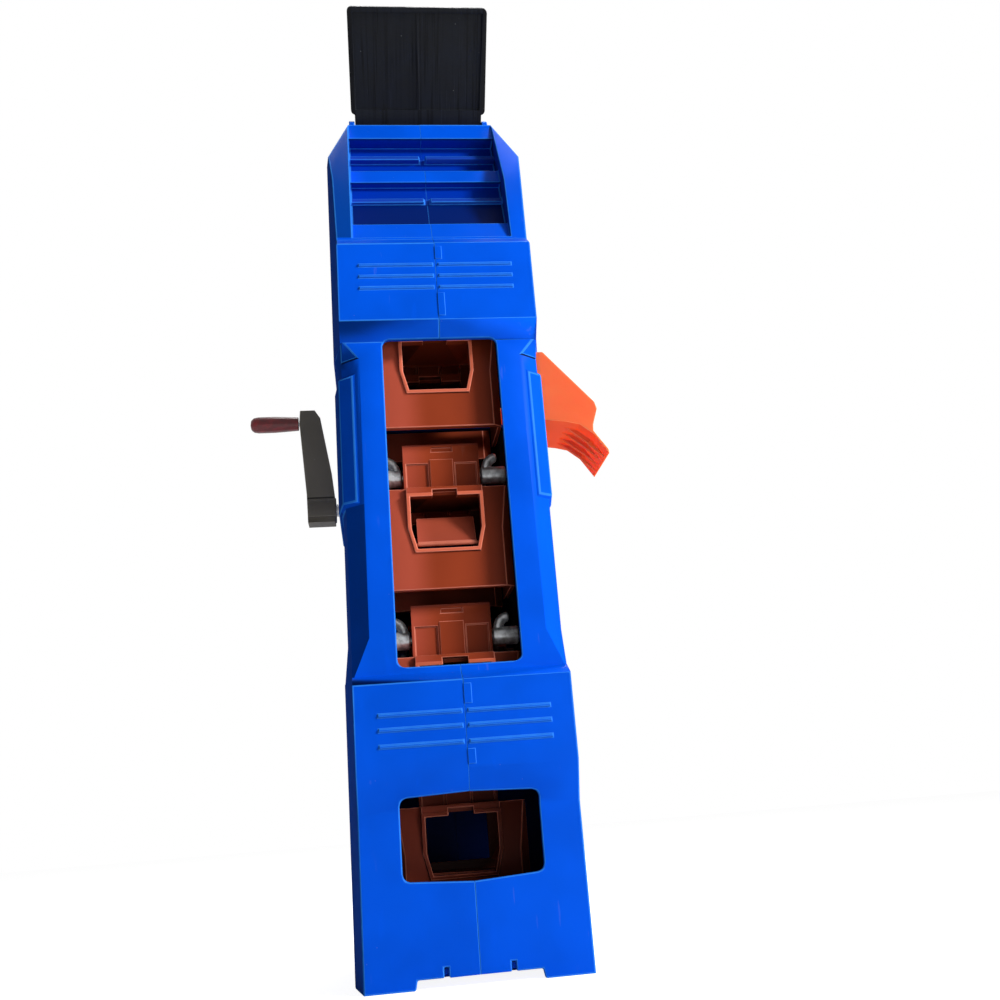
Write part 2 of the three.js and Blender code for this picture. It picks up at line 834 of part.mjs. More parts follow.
function louvreCuts() {
  const infront = browY - cutOvershoot
  const cuts = [barX([
    [infront, louvreFootZ],
    [louvreFootY, louvreFootZ],
    [roofFrontY, louvreHeadZ],
    [roofFrontY, roofZ + cutOvershoot],
    [infront, roofZ + cutOvershoot],
  ], -louvreHalfWidth, louvreHalfWidth)]
  for (const { footZ, headZ, depth } of [lowPocket, highPocket]) {
    cuts.push(barX([
      [infront, footZ],
      [louvreY(footZ) + depth, footZ],
      [louvreY(headZ) + depth, headZ],
      [infront, headZ],
    ], -louvreHalfWidth, louvreHalfWidth))
  }
  return joined(cuts)
}

function louvreSlats() {
  const slats = []
  for (const { depth, slatZ } of [lowPocket, highPocket]) {
    const floorY = louvreY(slatZ) + depth
    const edgeY = floorY - slatDepthShare * depth
    const outline = [
      [edgeY, slatZ - slatHalfHeight],
      [edgeY + slatHalfHeight, slatZ + slatHalfHeight],
      [floorY + wall, slatZ + slatHalfHeight],
      [floorY + middleShare * wall, slatZ - slatHalfHeight],
    ]
    slats.push(barX(outline, -louvreHalfWidth - ribRoot, -slatSeamHalf))
    slats.push(barX(outline, slatSeamHalf, louvreHalfWidth + ribRoot))
  }
  return joined(slats)
}

function screwBosses() {
  return joined(screwSites.map(([y, z]) => (
    rodX(bossRadius, -midHalfWidth, midHalfWidth, y, z, smallSegments)
  )))
}

function screwHoles() {
  const holes = []
  for (const [y, z] of screwSites) {
    const outside = sideHalfWidth + cutOvershoot
    const seat = midHalfWidth - screwHeadDepth
    holes.push(rodX(screwRadius + restGap, -screwReach - restGap, outside, y, z, smallSegments))
    holes.push(rodX(screwHeadRadius + restGap, seat, outside, y, z, smallSegments))
  }
  return joined(holes)
}

function deckLugs() {
  const outline = [
    [deckHingeY - lugFootHalf, roofZ - wall],
    [deckHingeY - lugRadius, deckHingeZ + lugCornerShare * lugRadius],
    [deckHingeY - lugCornerShare * lugRadius, deckHingeZ + lugRadius],
    [deckHingeY + lugCornerShare * lugRadius, deckHingeZ + lugRadius],
    [deckHingeY + lugRadius, deckHingeZ + lugCornerShare * lugRadius],
    [deckHingeY + lugFootHalf, roofZ - wall],
  ]
  return joined([
    barX(outline, -lugOuterX, -lugInnerX),
    barX(outline, lugInnerX, lugOuterX),
  ]).subtract(rodX(
    deckRodRadius + runningFit, -sideHalfWidth, sideHalfWidth, deckHingeY, deckHingeZ,
  ))
}

function housing() {
  const bored = outerForm()
    .add(sidePads())
    .subtract(innerForm())
    .subtract(louvreCuts())
    .add(louvreSlats())
    .add(browRibs())
    .subtract(windowCuts())
    .add(deckLugs())
    .add(screwBosses())
  return bored.subtract(screwHoles())
}

function axleBosses() {
  const start = -sideHalfWidth + wall / 2
  return joined([
    rodX(axleBossRadius, start, axleBossX, 0, lowerAxisZ),
    rodX(axleBossRadius, start, axleBossX, 0, upperAxisZ),
    rodX(shaftBossRadius, -midHalfWidth + wall / 2, axleBossX - bushFlange, 0, crankAxisZ),
  ])
}

function axleHoles() {
  const start = -sideHalfWidth + axleSkin
  const bushRadius = shaftRadius + bushWall + runningFit
  return joined([
    rodX(axleRadius + runningFit, start, axleBossX + cutOvershoot, 0, lowerAxisZ),
    rodX(axleRadius + runningFit, start, axleBossX + cutOvershoot, 0, upperAxisZ),
    rodX(bushRadius, -sideHalfWidth - cutOvershoot, axleBossX + cutOvershoot, 0, crankAxisZ),
  ])
}

function baseBosses() {
  const boss = side => rodZ(baseBossRadius, side * baseBossX, baseBossY, baseThickness + restGap, baseBossZ)
  const keep = block(
    -sideHalfWidth + wall / 2, sideHalfWidth - wall / 2, faceY, backY, 0, baseBossZ + cutOvershoot,
  )
  return boss(-1).add(boss(1)).intersect(keep)
}

function baseScrewHoles(radius) {
  return rodZ(radius, -baseBossX, baseBossY, -cutOvershoot, baseBossZ - wall)
    .add(rodZ(radius, baseBossX, baseBossY, -cutOvershoot, baseBossZ - wall))
}

function outletCut() {
  return block(
    midHalfWidth - 2 * wall - cutOvershoot, sideHalfWidth + cutOvershoot,
    outletFrontY - restGap, outletBackY + restGap,
    outletFootZ - restGap, outletHeadZ + restGap,
  )
}

function loadingCut() {
  const outline = rounded(rectangle(loadFrontY, loadBackY, loadFootZ, loadHeadZ), loadCorner)
  return barX(outline, midHalfWidth - cutOvershoot, sideHalfWidth + cutOvershoot)
}

function halfSpace(side) {
  const start = side * seamGap / 2
  const end = side * (sideHalfWidth + cutOvershoot)
  return block(
    Math.min(start, end), Math.max(start, end),
    browY - cutOvershoot, backY + cutOvershoot,
    -cutOvershoot, deckHingeZ + 2 * cutOvershoot,
  )
}

// Base plate: rests on the floor behind, lifted over the foot cut-out in front
function basePlate() {
  const profile = [
    [faceY, baseLiftZ],
    [baseStepY, baseLiftZ],
    [baseRestY, 0],
    [backY, 0],
    [backY, baseThickness],
    [baseRestY + baseThickness / 2, baseThickness],
    [baseStepY + baseThickness / 2, baseLiftZ + baseThickness],
    [faceY, baseLiftZ + baseThickness],
  ]
  const section = inset(inset(wideBehindFace, wall), restGap)
  return barX(profile, -sideHalfWidth, sideHalfWidth)
    .intersect(barZ(section, -cutOvershoot, baseLiftZ + 2 * baseThickness))
    .subtract(baseScrewHoles(screwRadius + restGap))
    .subtract(joined([-1, 1].map(side => rodZ(
      screwHeadRadius + restGap, side * baseBossX, baseBossY,
      -cutOvershoot, baseScrewHeadZ + baseScrewHead + restGap / 2,
    ))))
}

// Screws: one along X through both halves, one upward through the base plate
function shellScrew([y, z]) {
  const head = midHalfWidth - restGap / 2
  const seat = head - screwHeadDepth + restGap
  return turnedX([
    [0, -screwReach],
    [screwRadius, -screwReach + screwRadius],
    [screwRadius, seat],
    [screwHeadRadius, seat],
    [screwHeadRadius, head],
    [0, head],
  ], y, z, smallSegments)
}

function baseScrew(side) {
  const x = side * baseBossX
  return rodZ(screwHeadRadius, x, baseBossY, baseScrewHeadZ, baseScrewHeadZ + baseScrewHead)
    .add(rodZ(screwRadius, x, baseBossY, baseScrewHeadZ, baseBossZ - wall - restGap))
}

// Belt, pulleys and axles
function belt() {
  const half = beltThickness / 2
  return loopBand(loopRadius - half, loopRadius + half, beltOuterX, beltInnerX)
}

function pulley(z, bore) {
  const rim = loopRadius - beltThickness / 2 - restGap
  const web = beltOuterX + middleShare * beltWidth
  const hubStart = axleBossX + restGap
  return turnedX([
    [bore, hubStart],
    [pulleyHubRadius, hubStart],
    [pulleyHubRadius, web],
    [pulleyRimInner, web],
    [pulleyRimInner, beltOuterX - pulleyFlange - restGap],
    [rim + pulleyFlangeReach, beltOuterX - pulleyFlange - restGap],
    [rim + pulleyFlangeReach, beltOuterX - restGap],
    [rim, beltOuterX - restGap],
    [rim, beltInnerX],
    [pulleyRimInner, beltInnerX],
    [pulleyRimInner, web + pulleyWeb],
    [pulleyHubRadius, web + pulleyWeb],
    [pulleyHubRadius, beltInnerX],
    [bore, beltInnerX],
    [bore, hubStart],
  ], 0, z, pulleySegments)
}

function stubAxle(z) {
  const headStart = beltInnerX + restGap
  const start = -sideHalfWidth + axleSkin + restGap
  return turnedX([
    [0, start],
    [axleRadius, start],
    [axleRadius, headStart],
    [axleHeadRadius, headStart],
    [axleHeadRadius, headStart + axleHeadDepth],
    [0, headStart + axleHeadDepth],
  ], 0, z, roundSegments)
}

function driveShaft() {
  return rodX(shaftRadius, crankShaftDepthX, beltInnerX - restGap, 0, crankAxisZ)
}

function shaftBush() {
  const inner = shaftRadius + runningFit
  const outer = shaftRadius + bushWall
  const innerEnd = axleBossX - restGap
  const flangeEnd = innerEnd - bushFlange + 2 * restGap
  return turnedX([
    [inner, -sideHalfWidth],
    [outer, -sideHalfWidth],
    [outer, flangeEnd],
    [bushFlangeRadius, flangeEnd],
    [bushFlangeRadius, innerEnd],
    [inner, innerEnd],
    [inner, -sideHalfWidth],
  ], 0, crankAxisZ, roundSegments)
}

// Crank
function crankArm() {
  const arm = barY(crankArmLine, -crankHalfDepth, crankHalfDepth)
  const hub = rodX(crankHubRadius, crankHubOuterX, crankHubInnerX, 0, crankAxisZ)
  const bore = rodX(
    shaftRadius + runningFit, crankShaftDepthX - restGap, crankHubInnerX + cutOvershoot, 0, crankAxisZ,
  )
  const pinBore = rodX(
    gripPinRadius + runningFit, gripInnerX - cutOvershoot, gripInnerX + gripPinRoot + restGap,
    0, crankAxisZ + gripOffset,
  )
  return arm.add(hub).subtract(bore).subtract(pinBore)
}

function crankGrip() {
  const bore = gripPinRadius + runningFit
  const tip = gripInnerX - gripLength
  const depth = gripInnerX - gripPinReach - restGap
  return turnedX([
    [0, tip],
    ...gripTipShares.map(([out, along]) => [gripRadius * out, tip + gripRadius * along]),
    [gripRadius, middleShare * (tip + gripInnerX)],
    [gripNeck, gripInnerX - restGap],
    [bore, gripInnerX - restGap],
    [bore, depth],
    [0, depth],
  ], 0, crankAxisZ + gripOffset, roundSegments)
}

function gripPin() {
  return rodX(
    gripPinRadius, gripInnerX - gripPinReach, gripInnerX + gripPinRoot, 0, crankAxisZ + gripOffset,
  )
}

// Carriers, modelled round their pivot and then moved to their place on the loop
const openingOutline = bothSides([
  [openingFootHalf, openingFootZ],
  [openingHalfWidth, openingTaperZ],
  [openingHalfWidth, openingHeadZ],
  [openingNotchHalf, openingHeadZ],
  [openingNotchHalf, openingNotchZ],
])
const rimOutline = bothSides([
  [openingFootHalf, openingFootZ],
  [openingHalfWidth, openingTaperZ],
  [openingHalfWidth, openingHeadZ],
])

function carrier(flapSockets) {
  const section = bothSides([
    [carrierBevelHalf, -carrierReach],
    [carrierHalfWidth, carrierBevelY],
    [carrierHalfWidth, carrierBackReach],
  ])
  const inside = carrierHalfWidth - carrierWall
  const bay = barY([
    [-inside, bayFloorHighZ],
    [carrierHalfWidth + cutOvershoot, bayFloorLowZ],
    [carrierHalfWidth + cutOvershoot, bayHeadZ],
    [-inside, bayHeadZ],
  ], -carrierReach + frontWall, carrierBackReach - carrierWall)
  const skirt = barY([
    [-inside, bayFloorHighZ - carrierWall],
    [-inside, carrierFootZ - cutOvershoot],
    [inside, carrierFootZ - cutOvershoot],
    [inside, bayFloorLowZ - carrierWall],
  ], -carrierReach + frontWall, carrierBackReach - carrierWall)
  const neckOutline = [
    [neckFrontY, neckFootZ],
    [neckFrontY, neckHeadZ - neckBevel],
    [neckFrontY + neckBevel, neckHeadZ],
    [neckBackY, neckHeadZ],
    [neckBackY, neckFootZ],
  ]
  const skirtBack = block(
    -inside, inside, carrierBackReach - carrierWall - cutOvershoot, carrierBackReach + cutOvershoot,
    carrierFootZ - cutOvershoot, skirtBackZ,
  )
  const rimTop = openingHeadZ + rimWidth
  const rim = barY(inset(rimOutline, -rimWidth), -carrierReach - rimProud, -carrierReach + rimRoot)
    .intersect(block(
      -carrierHalfWidth, carrierHalfWidth, -carrierReach - rimProud, carrierBackReach, carrierFootZ, rimTop,
    ))
  let made = joined([
    barZ(section, carrierFootZ, carrierTopZ),
    barX(neckOutline, -neckHalfWidth, neckHalfWidth),
    rodX(neckHubRadius, -neckHalfWidth, neckHalfWidth, 0, 0, smallSegments),
    block(-neckHalfWidth, neckHalfWidth, neckFrontY + neckPocket, 0, neckFootZ, neckHubRadius - neckBevel),
    block(
      -neckStripShare * neckHalfWidth, neckStripShare * neckHalfWidth,
      neckFrontY - neckStripProud, neckBackY, neckFootZ, neckPocketHeadZ + neckStripRise,
    ),
  ])
  // The front leans back beside the opening's upright strip
  const shoulderCut = [
    [-carrierReach - cutOvershoot, shoulderCutZ],
    [-carrierReach, shoulderCutZ],
    [-carrierReach + shoulderCutStep, carrierTopZ],
    [-carrierReach + shoulderCutStep, carrierTopZ + cutOvershoot],
    [-carrierReach - cutOvershoot, carrierTopZ + cutOvershoot],
  ]
  made = made
    .subtract(barX(shoulderCut, -carrierHalfWidth - cutOvershoot, -stripHalfWidth))
    .subtract(barX(shoulderCut, stripHalfWidth, carrierHalfWidth + cutOvershoot))
    .add(rim)
  made = made.subtract(bay).subtract(skirt).subtract(skirtBack)
  made = made.subtract(block(
    -backWindowHalf, backWindowHalf,
    carrierBackReach - carrierWall - cutOvershoot, carrierBackReach + cutOvershoot,
    backWindowFootZ, bayHeadZ,
  ))
  made = made.subtract(barY(openingOutline, -carrierReach - cutOvershoot, -carrierReach + frontWall + restGap))
  const pockets = neckPocketShares.map(([start, end]) => ({
    startX: start * neckHalfWidth,
    endX: end * neckHalfWidth,
    footZ: neckPocketFootZ,
    headZ: neckPocketHeadZ,
  }))
  for (const { startX, endX, footZ, headZ } of [...pockets, neckSlot]) {
    made = made.subtract(block(startX, endX, neckFrontY - cutOvershoot, neckFrontY + neckPocket, footZ, headZ))
  }
  const boreHalf = neckHalfWidth + cutOvershoot
  made = made.subtract(rodX(neckBore + runningFit, -boreHalf, boreHalf, 0, 0, smallSegments))
  if (flapSockets) {
    const reach = flapHalfWidth + flapPinReach + restGap
    const socket = rodX(flapPinRadius + runningFit, -reach, reach, flapPivotY, flapPivotZ, smallSegments)
    made = made.subtract(socket)
  }
  return made
}

// Links stay upright with their carrier: plate, boss on the axle and a smaller peg above
function linkPlateForm(side) {
  const outline = []
  const startX = side * linkPlateX
  const endX = side * (linkPlateX + linkPlate)
  for (let step = 0; step <= plateSegments; step += 1) {
    const angle = Math.PI * (1 + step / plateSegments)
    outline.push([linkPlateRadius * Math.cos(angle), linkPlateRadius * Math.sin(angle)])
  }
  for (let step = 0; step <= plateSegments; step += 1) {
    const angle = Math.PI * step / plateSegments
    outline.push([
      linkLeadRadius * Math.cos(angle), linkLeadZ + linkLeadRadius * Math.sin(angle),
    ])
  }
  return barX(outline, Math.min(startX, endX), Math.max(startX, endX))
}

function rodBetween(radius, startX, endX, y, z) {
  return rodX(radius, Math.min(startX, endX), Math.max(startX, endX), y, z, smallSegments)
}

// The carriers hang a little left of the seam, so each link has its own reach
const shoeInnerX = beltInnerX + restGap
const linkLeftEnd = carrierX - shoeInnerX - shoeCheek - restGap

function hangerLink(side) {
  const root = side * (linkPlateX + linkPlate / 2)
  const bossEnd = side * (side < 0 ? linkLeftEnd : linkRightEnd)
  const boreStart = side * (linkPlateX - cutOvershoot)
  return joined([
    linkPlateForm(side),
    rodBetween(linkBossRadius, root, bossEnd, 0, 0),
    rodBetween(linkLeadRadius, root, side * linkLeadEnd, 0, linkLeadZ),
  ]).subtract(rodBetween(neckBore + runningFit, boreStart, bossEnd + side * cutOvershoot, 0, 0))
}

// Axle, in one piece with the shoe that grips the belt and the follower in the track
function hangerAxle() {
  const start = shoeInnerX - carrierX
  const shoulder = trackInnerX + restGap - carrierX
  const end = trackPlateX - restGap - carrierX
  const shoeY = -beltThickness / 2 - restGap
  return joined([
    turnedX([
      [0, start],
      [neckBore, start],
      [neckBore, shoulder],
      [followerRadius, shoulder],
      [followerRadius, end],
      [0, end],
    ], 0, 0, smallSegments),
    rodX(shoeRadius, start, start + shoeCheek, 0, 0, smallSegments),
    block(start, start + shoeCheek, shoeY - shoeThickness, 0, -shoeRadius, shoeRadius),
    block(
      beltOuterX - carrierX, start + shoeCheek,
      shoeY - shoeThickness, shoeY, -shoeHalfHeight, shoeHalfHeight,
    ),
  ])
}

// Guide track: a grooved loop that the right-hand links run in, open at the outlet
function guideTrack() {
  const inner = loopRadius - trackGroove
  const outer = loopRadius + trackGroove
  const made = joined([
    loopBand(inner - trackRail, outer + trackRail, trackPlateX, trackOuterX),
    loopBand(inner - trackRail, inner, trackInnerX, trackPlateX + restGap),
    loopBand(outer, outer + trackRail, trackInnerX, trackPlateX + restGap),
    ...trackPadZ.map(z => block(
      trackOuterX - trackPad, midHalfWidth - wall - restGap,
      loopRadius - trackPadHalf, loopRadius + trackPadHalf,
      z - trackPadHalf, z + trackPadHalf,
    )),
  ])
  return made.subtract(block(
    trackInnerX - cutOvershoot, sideHalfWidth,
    faceY, 0, trackGapFootZ, trackGapHeadZ,
  ))
}

// Stop flap
function stopFlap() {
  const plate = block(
    -flapHalfWidth + restGap, flapHalfWidth - restGap,
    -flapThickness / 2, flapThickness / 2, 0, flapLength,
  )
  const span = flapHalfWidth - restGap
  const pins = flapHalfWidth + flapPinReach
  const made = joined([
    plate,
    rodX(flapBarrel, -span, span, 0, 0, smallSegments),
    rodX(flapPinRadius, -pins, pins, 0, 0, smallSegments),
  ])
  return made
}

// Chute
function chute() {
  const lower = chuteTopLine.map(([x, z]) => [x, z - chuteThickness]).reverse()
  const floor = [...chuteTopLine, ...lower]
  const parts = [barY(floor, outletFrontY, outletBackY)]
  const [rootX, rootZ] = chuteTopLine[0]
  for (const [start, end] of tongueSpans) {
    parts.push(barY([
      [tongueX, tongueZ],
      [rootX + ribRoot, rootZ],
      [rootX + ribRoot, rootZ - chuteThickness],
      [tongueX, tongueZ - chuteThickness],
    ], start, end))
  }
  const guard = [...guardLine, ...lower.slice(1)]
  parts.push(barY(guard, outletFrontY, outletFrontY + guardThickness))
  parts.push(barY(guard, outletBackY - guardThickness, outletBackY))
  const ribLine = chuteTopLine.slice(1).map(([x, z]) => [x, z - chuteThickness / 2])
  const ribFoot = ribLine.map(([x, z], i) => {
    const share = i === 0 || i === ribLine.length - 1 ? 0 : 1
    return [x - share * chuteRibDepth, z - chuteThickness / 2 - share * chuteRibDepth]
  }).reverse()
  for (const y of chuteRibY) {
    parts.push(barY([...ribLine, ...ribFoot], y - chuteRibHalf, y + chuteRibHalf))
  }
  return joined(parts)
}

// Landing flap: built upright on its hinge line, then leaned forward
function deckFlap() {
  const face = rounded(rectangle(-deckHalfWidth, deckHalfWidth, deckNotch, deckLength), deckCorner)
  const root = rectangle(-deckBarrelHalf, deckBarrelHalf, 0, deckNotch + deckCorner)
  const recess = bothSides([
    [deckHalfWidth - deckRim, deckNotch + deckRim],
    [deckHalfWidth - deckRim, deckLength - deckRim],
  ])
  const front = -deckThickness / 2
  const made = barY(face, front, deckThickness / 2)
    .add(barY(root, front, deckThickness / 2))
    .subtract(barY(recess, front - cutOvershoot, front + deckRecess))
    .add(barY(rectangle(-deckRidgeHalf, deckRidgeHalf, deckNotch, deckLength - deckRim / 2),
      front + deckRecess - deckRidge, front + deckRecess + deckRidge))
    .add(rodX(deckBarrel, -deckBarrelHalf, deckBarrelHalf, 0, 0))
  return made.subtract(rodX(deckRodRadius + runningFit, -deckHalfWidth, deckHalfWidth, 0, 0))
}

function deckRod() {
  return rodX(deckRodRadius, -lugOuterX + restGap, lugOuterX - restGap, deckHingeY, deckHingeZ)
}

// Assembly
const garage = new THREE.Group()

function place(name, made, look, turn = 0, x = 0, y = 0, z = 0) {
  const mesh = made.getMesh()
  const geometry = new THREE.BufferGeometry()
  const positions = new Float32Array(mesh.numVert * 3)
  for (let vertex = 0; vertex < mesh.numVert; vertex += 1) {
    for (let axis = 0; axis < 3; axis += 1) {
      positions[vertex * 3 + axis] = mesh.vertProperties[vertex * mesh.numProp + axis]
    }
  }
  geometry.setAttribute('position', new THREE.BufferAttribute(positions, 3))
  geometry.setIndex(new THREE.BufferAttribute(new Uint32Array(mesh.triVerts), 1))
  geometry.rotateX(turn)
  geometry.translate(x, y, z)
  geometry.computeVertexNormals()
  const node = new THREE.Mesh(geometry, new THREE.MeshStandardMaterial(look))
  node.name = name
  garage.add(node)
}

const body = housing()
place('shell_left', body.add(axleBosses()).subtract(axleHoles())
  .add(baseBosses()).subtract(baseScrewHoles(screwRadius + restGap)).intersect(halfSpace(-1)), blue)
place('shell_right', body.subtract(outletCut()).subtract(loadingCut())
  .add(baseBosses()).subtract(baseScrewHoles(screwRadius + restGap)).intersect(halfSpace(1)), blue)
place('base_plate', basePlate(), blue)
screwSites.forEach((site, i) => place(`shell_screw_${i + 1}`, shellScrew(site), steel))
place('base_screw_left', baseScrew(-1), steel)
place('base_screw_right', baseScrew(1), steel)

place('belt', belt(), rubber)
place('pulley_top', pulley(upperAxisZ, axleRadius + runningFit), palePlastic)
place('pulley_middle', pulley(crankAxisZ, shaftRadius + runningFit), palePlastic)
place('pulley_bottom', pulley(lowerAxisZ, axleRadius + runningFit), palePlastic)
place('axle_top', stubAxle(upperAxisZ), steel)
place('axle_bottom', stubAxle(lowerAxisZ), steel)
place('drive_shaft', driveShaft(), steel)
place('shaft_bush', shaftBush(), palePlastic)
place('guide_track', guideTrack(), black)
place('crank_arm', crankArm(), armGrey)
place('crank_grip', crankGrip(), darkRed)
place('grip_pin', gripPin(), steel)
place('chute', chute(), orange)
place('deck_flap', deckFlap(), black, THREE.MathUtils.degToRad(deckLeanDegrees), 0, deckHingeY, deckHingeZ)
place('deck_rod', deckRod(), steel)

// Stations round the loop: turn of the links, then the pivot
const stations = [
  ['bottom', Math.PI / 2, 0, lowerAxisZ - loopRadius],
  ['top', -Math.PI / 2, 0, upperAxisZ + loopRadius],
]
const levelNames = ['low', 'middle', 'high']
levelNames.forEach((level, i) => {
  const z = lowerAxisZ + (i + middleShare) * loopPitch
  stations.push([`front_${level}`, 0, -loopRadius, z])
  stations.push([`back_${level}`, Math.PI, loopRadius, z])
})

const plainCarrier = carrier(false)
const flapCarrier = carrier(true)
const links = { left: hangerLink(-1), right: hangerLink(1) }
const hanger = hangerAxle()
for (const [station, turn, y, z] of stations) {
  const form = station === 'front_middle' ? flapCarrier : plainCarrier
  place(`carrier_${station}`, form, orange, 0, carrierX, y, z)
  place(`hanger_axle_${station}`, hanger, linkGrey, turn, carrierX, y, z)
  place(`link_left_${station}`, links.left, linkGrey, 0, carrierX, y, z)
  place(`link_right_${station}`, links.right, linkGrey, 0, carrierX, y, z)
}
const flapZ = lowerAxisZ + (1 + middleShare) * loopPitch + flapPivotZ
place('stop_flap', stopFlap(), orange, -flapLean, carrierX, -loopRadius + flapPivotY, flapZ)

export default garage
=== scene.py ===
"""Toy parking garage with a car lift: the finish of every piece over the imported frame."""

import json
import math
from typing import NamedTuple

import bmesh
import bpy
from mathutils import Matrix, Vector
from mathutils.bvhtree import BVHTree
from mathutils.kdtree import KDTree

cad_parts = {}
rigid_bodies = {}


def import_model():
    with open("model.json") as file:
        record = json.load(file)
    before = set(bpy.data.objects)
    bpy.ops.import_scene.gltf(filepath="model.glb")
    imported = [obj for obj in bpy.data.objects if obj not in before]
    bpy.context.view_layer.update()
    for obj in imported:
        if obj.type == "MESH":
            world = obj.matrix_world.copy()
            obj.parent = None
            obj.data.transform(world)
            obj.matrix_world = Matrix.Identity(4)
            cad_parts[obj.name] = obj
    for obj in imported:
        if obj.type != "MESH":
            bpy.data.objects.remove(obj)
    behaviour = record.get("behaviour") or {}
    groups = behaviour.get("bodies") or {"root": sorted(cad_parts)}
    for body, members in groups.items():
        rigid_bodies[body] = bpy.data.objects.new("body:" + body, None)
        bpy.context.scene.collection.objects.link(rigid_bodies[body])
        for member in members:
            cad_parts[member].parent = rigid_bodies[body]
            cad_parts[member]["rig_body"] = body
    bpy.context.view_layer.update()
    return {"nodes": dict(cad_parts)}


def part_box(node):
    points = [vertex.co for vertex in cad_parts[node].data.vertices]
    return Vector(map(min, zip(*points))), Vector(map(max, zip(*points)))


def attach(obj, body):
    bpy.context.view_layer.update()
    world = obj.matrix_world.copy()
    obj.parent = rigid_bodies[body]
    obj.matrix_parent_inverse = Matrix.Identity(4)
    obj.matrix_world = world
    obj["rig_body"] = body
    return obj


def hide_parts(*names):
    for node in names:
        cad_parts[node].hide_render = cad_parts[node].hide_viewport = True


bl_info = {
    "name": "Toy Parking Garage",
    "version": (1, 0, 0),
    "blender": (4, 5, 0),
    "location": "View3D > Sidebar > Garage",
    "description": "Dresses the packed frame of a toy parking garage with a car lift",
    "category": "Object",
}

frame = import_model()

MM = 0.001
WHITE = (1.0, 1.0, 1.0, 1.0)
BLACK = (0.0, 0.0, 0.0, 1.0)
LEVELS = ("low", "middle", "high")
STATIONS = ("bottom", "top", *(f"{side}_{level}" for side in ("front", "back") for level in LEVELS))
SHELLS = ("shell_left", "shell_right", "base_plate")

# Cleaning of the CAD meshes
WELD_REACH = 0.01 * MM
SHORTEST_EDGE = 0.03 * MM
FLAT_TURN = math.radians(0.6)

# Rounded corners, with shares of the rounding's width
CORNER_MARK = "corner"
SHARP_TURN = math.radians(24.0)
ROOM_SHARE = 0.42
LEAST_SLANT = 0.2
LEAST_SHARE = 0.12
STRAY_SHARE = 0.75
GAP_SHARE = 0.8
FOLD_SHARE = 0.3
FOLD_DOT = -0.3
NEAR_SHARE = 1.5
GAP_PROBES = (0.0, 0.45, 0.8)
ROUNDING_TRIES = 5
SMOOTH_TURN = math.radians(38.0)

# The seam between the two halves
SEAM_REACH = 0.2 * MM
SEAM_HAIRLINE = 0.05 * MM
SEAM_SHARE = 0.2

# Hollows, found by rays from each face, where the finishes paint shade
HOLLOW_MARK = "hollow"
HOLLOW_RAYS = 20
HOLLOW_REACH = 400.0 * MM
HOLLOW_LIFT = 0.05 * MM

# The louvres, which take a painted shade: a floor that leans back as it rises, and two slats
LOUVRE_HALF_WIDTH = 50.0 * MM
LOUVRE_FOOT_Y = -60.0 * MM
LOUVRE_FOOT_Z = 434.0 * MM
LOUVRE_HEAD_Z = 547.0 * MM
LOUVRE_RUN = 0.3877
LOUVRE_DEPTH = 24.0 * MM
LOUVRE_RAMP = (0.2 * MM, 4.0 * MM)
LOW_SLAT_Z = 474.0 * MM
HIGH_SLAT_Z = 520.5 * MM
SLAT_HALF_HEIGHT = 2.2 * MM
SLAT_SHADE = 3.0 * MM

# Painted shade on the faces towards the crank's side, and less of it on the front of its pad
LEFTWARD_SPAN = (-0.15, -0.5)
FLANK_SPAN = (-0.8, -0.95)
CRANK_SIDE_SHARE = 0.55
PAD_FOOT_Z = 260.0 * MM
PAD_HEAD_Z = 352.0 * MM
PAD_BACK_Y = -40.0 * MM

# The carriers: painted light at their left, painted shade at their right, painted highlights on
# their rims, and painted shade on the bottom carrier
LIT_SPAN = (-8.0 * MM, -26.0 * MM)
SHADE_SPAN = (2.0 * MM, 28.0 * MM)
RIM_SPAN = (0.7 * MM, 0.4 * MM)
SUNK_FADE = 12.0 * MM

# The parting line of the crank arm
ARM_GROOVE_Z = 282.0 * MM
ARM_GROOVE_SPAN = (0.8 * MM, 0.35 * MM)
ARM_SHADE_DEPTH = 9.0 * MM

# The rim of the landing panel, from its sides and from its head
DECK_SIDE_SPAN = (3.4 * MM, 2.6 * MM)
DECK_HEAD_SPAN = (3.0 * MM, 2.4 * MM)

# The hooked links: the hook tapers from its root to 1, and its tip is round
BOSS_ROUNDING = 1.3 * MM
BOSS_STEPS = 44
HOOK_STEPS = 30
HOOK_RINGS = 40
HOOK_ROOT = 1.12
HOOK_TIP_START = 0.9
HOOK_BLUNT = 0.85

# The screws
SHELL_SCREW_HEAD = 2.1 * MM
BASE_SCREW_HEAD = 1.6 * MM
DOME_FALL = 0.8
DOME_STEPS = 12
SHANK_STEPS = 4
CROSS_DEPTH = 0.8 * MM

# The belt: its teeth as shares of the pitch and of their own height
BELT_DEPTH = 1.6 * MM
LOOP_STEPS = 160
TOOTH_SHARE = 0.48
TOOTH_ROOT = 1.2


# Node wiring


def sign_for(operation):
    """What a sign such as + does on a wire: it adds this Math node."""
    return lambda wire, *others: wire.math(operation, *others)


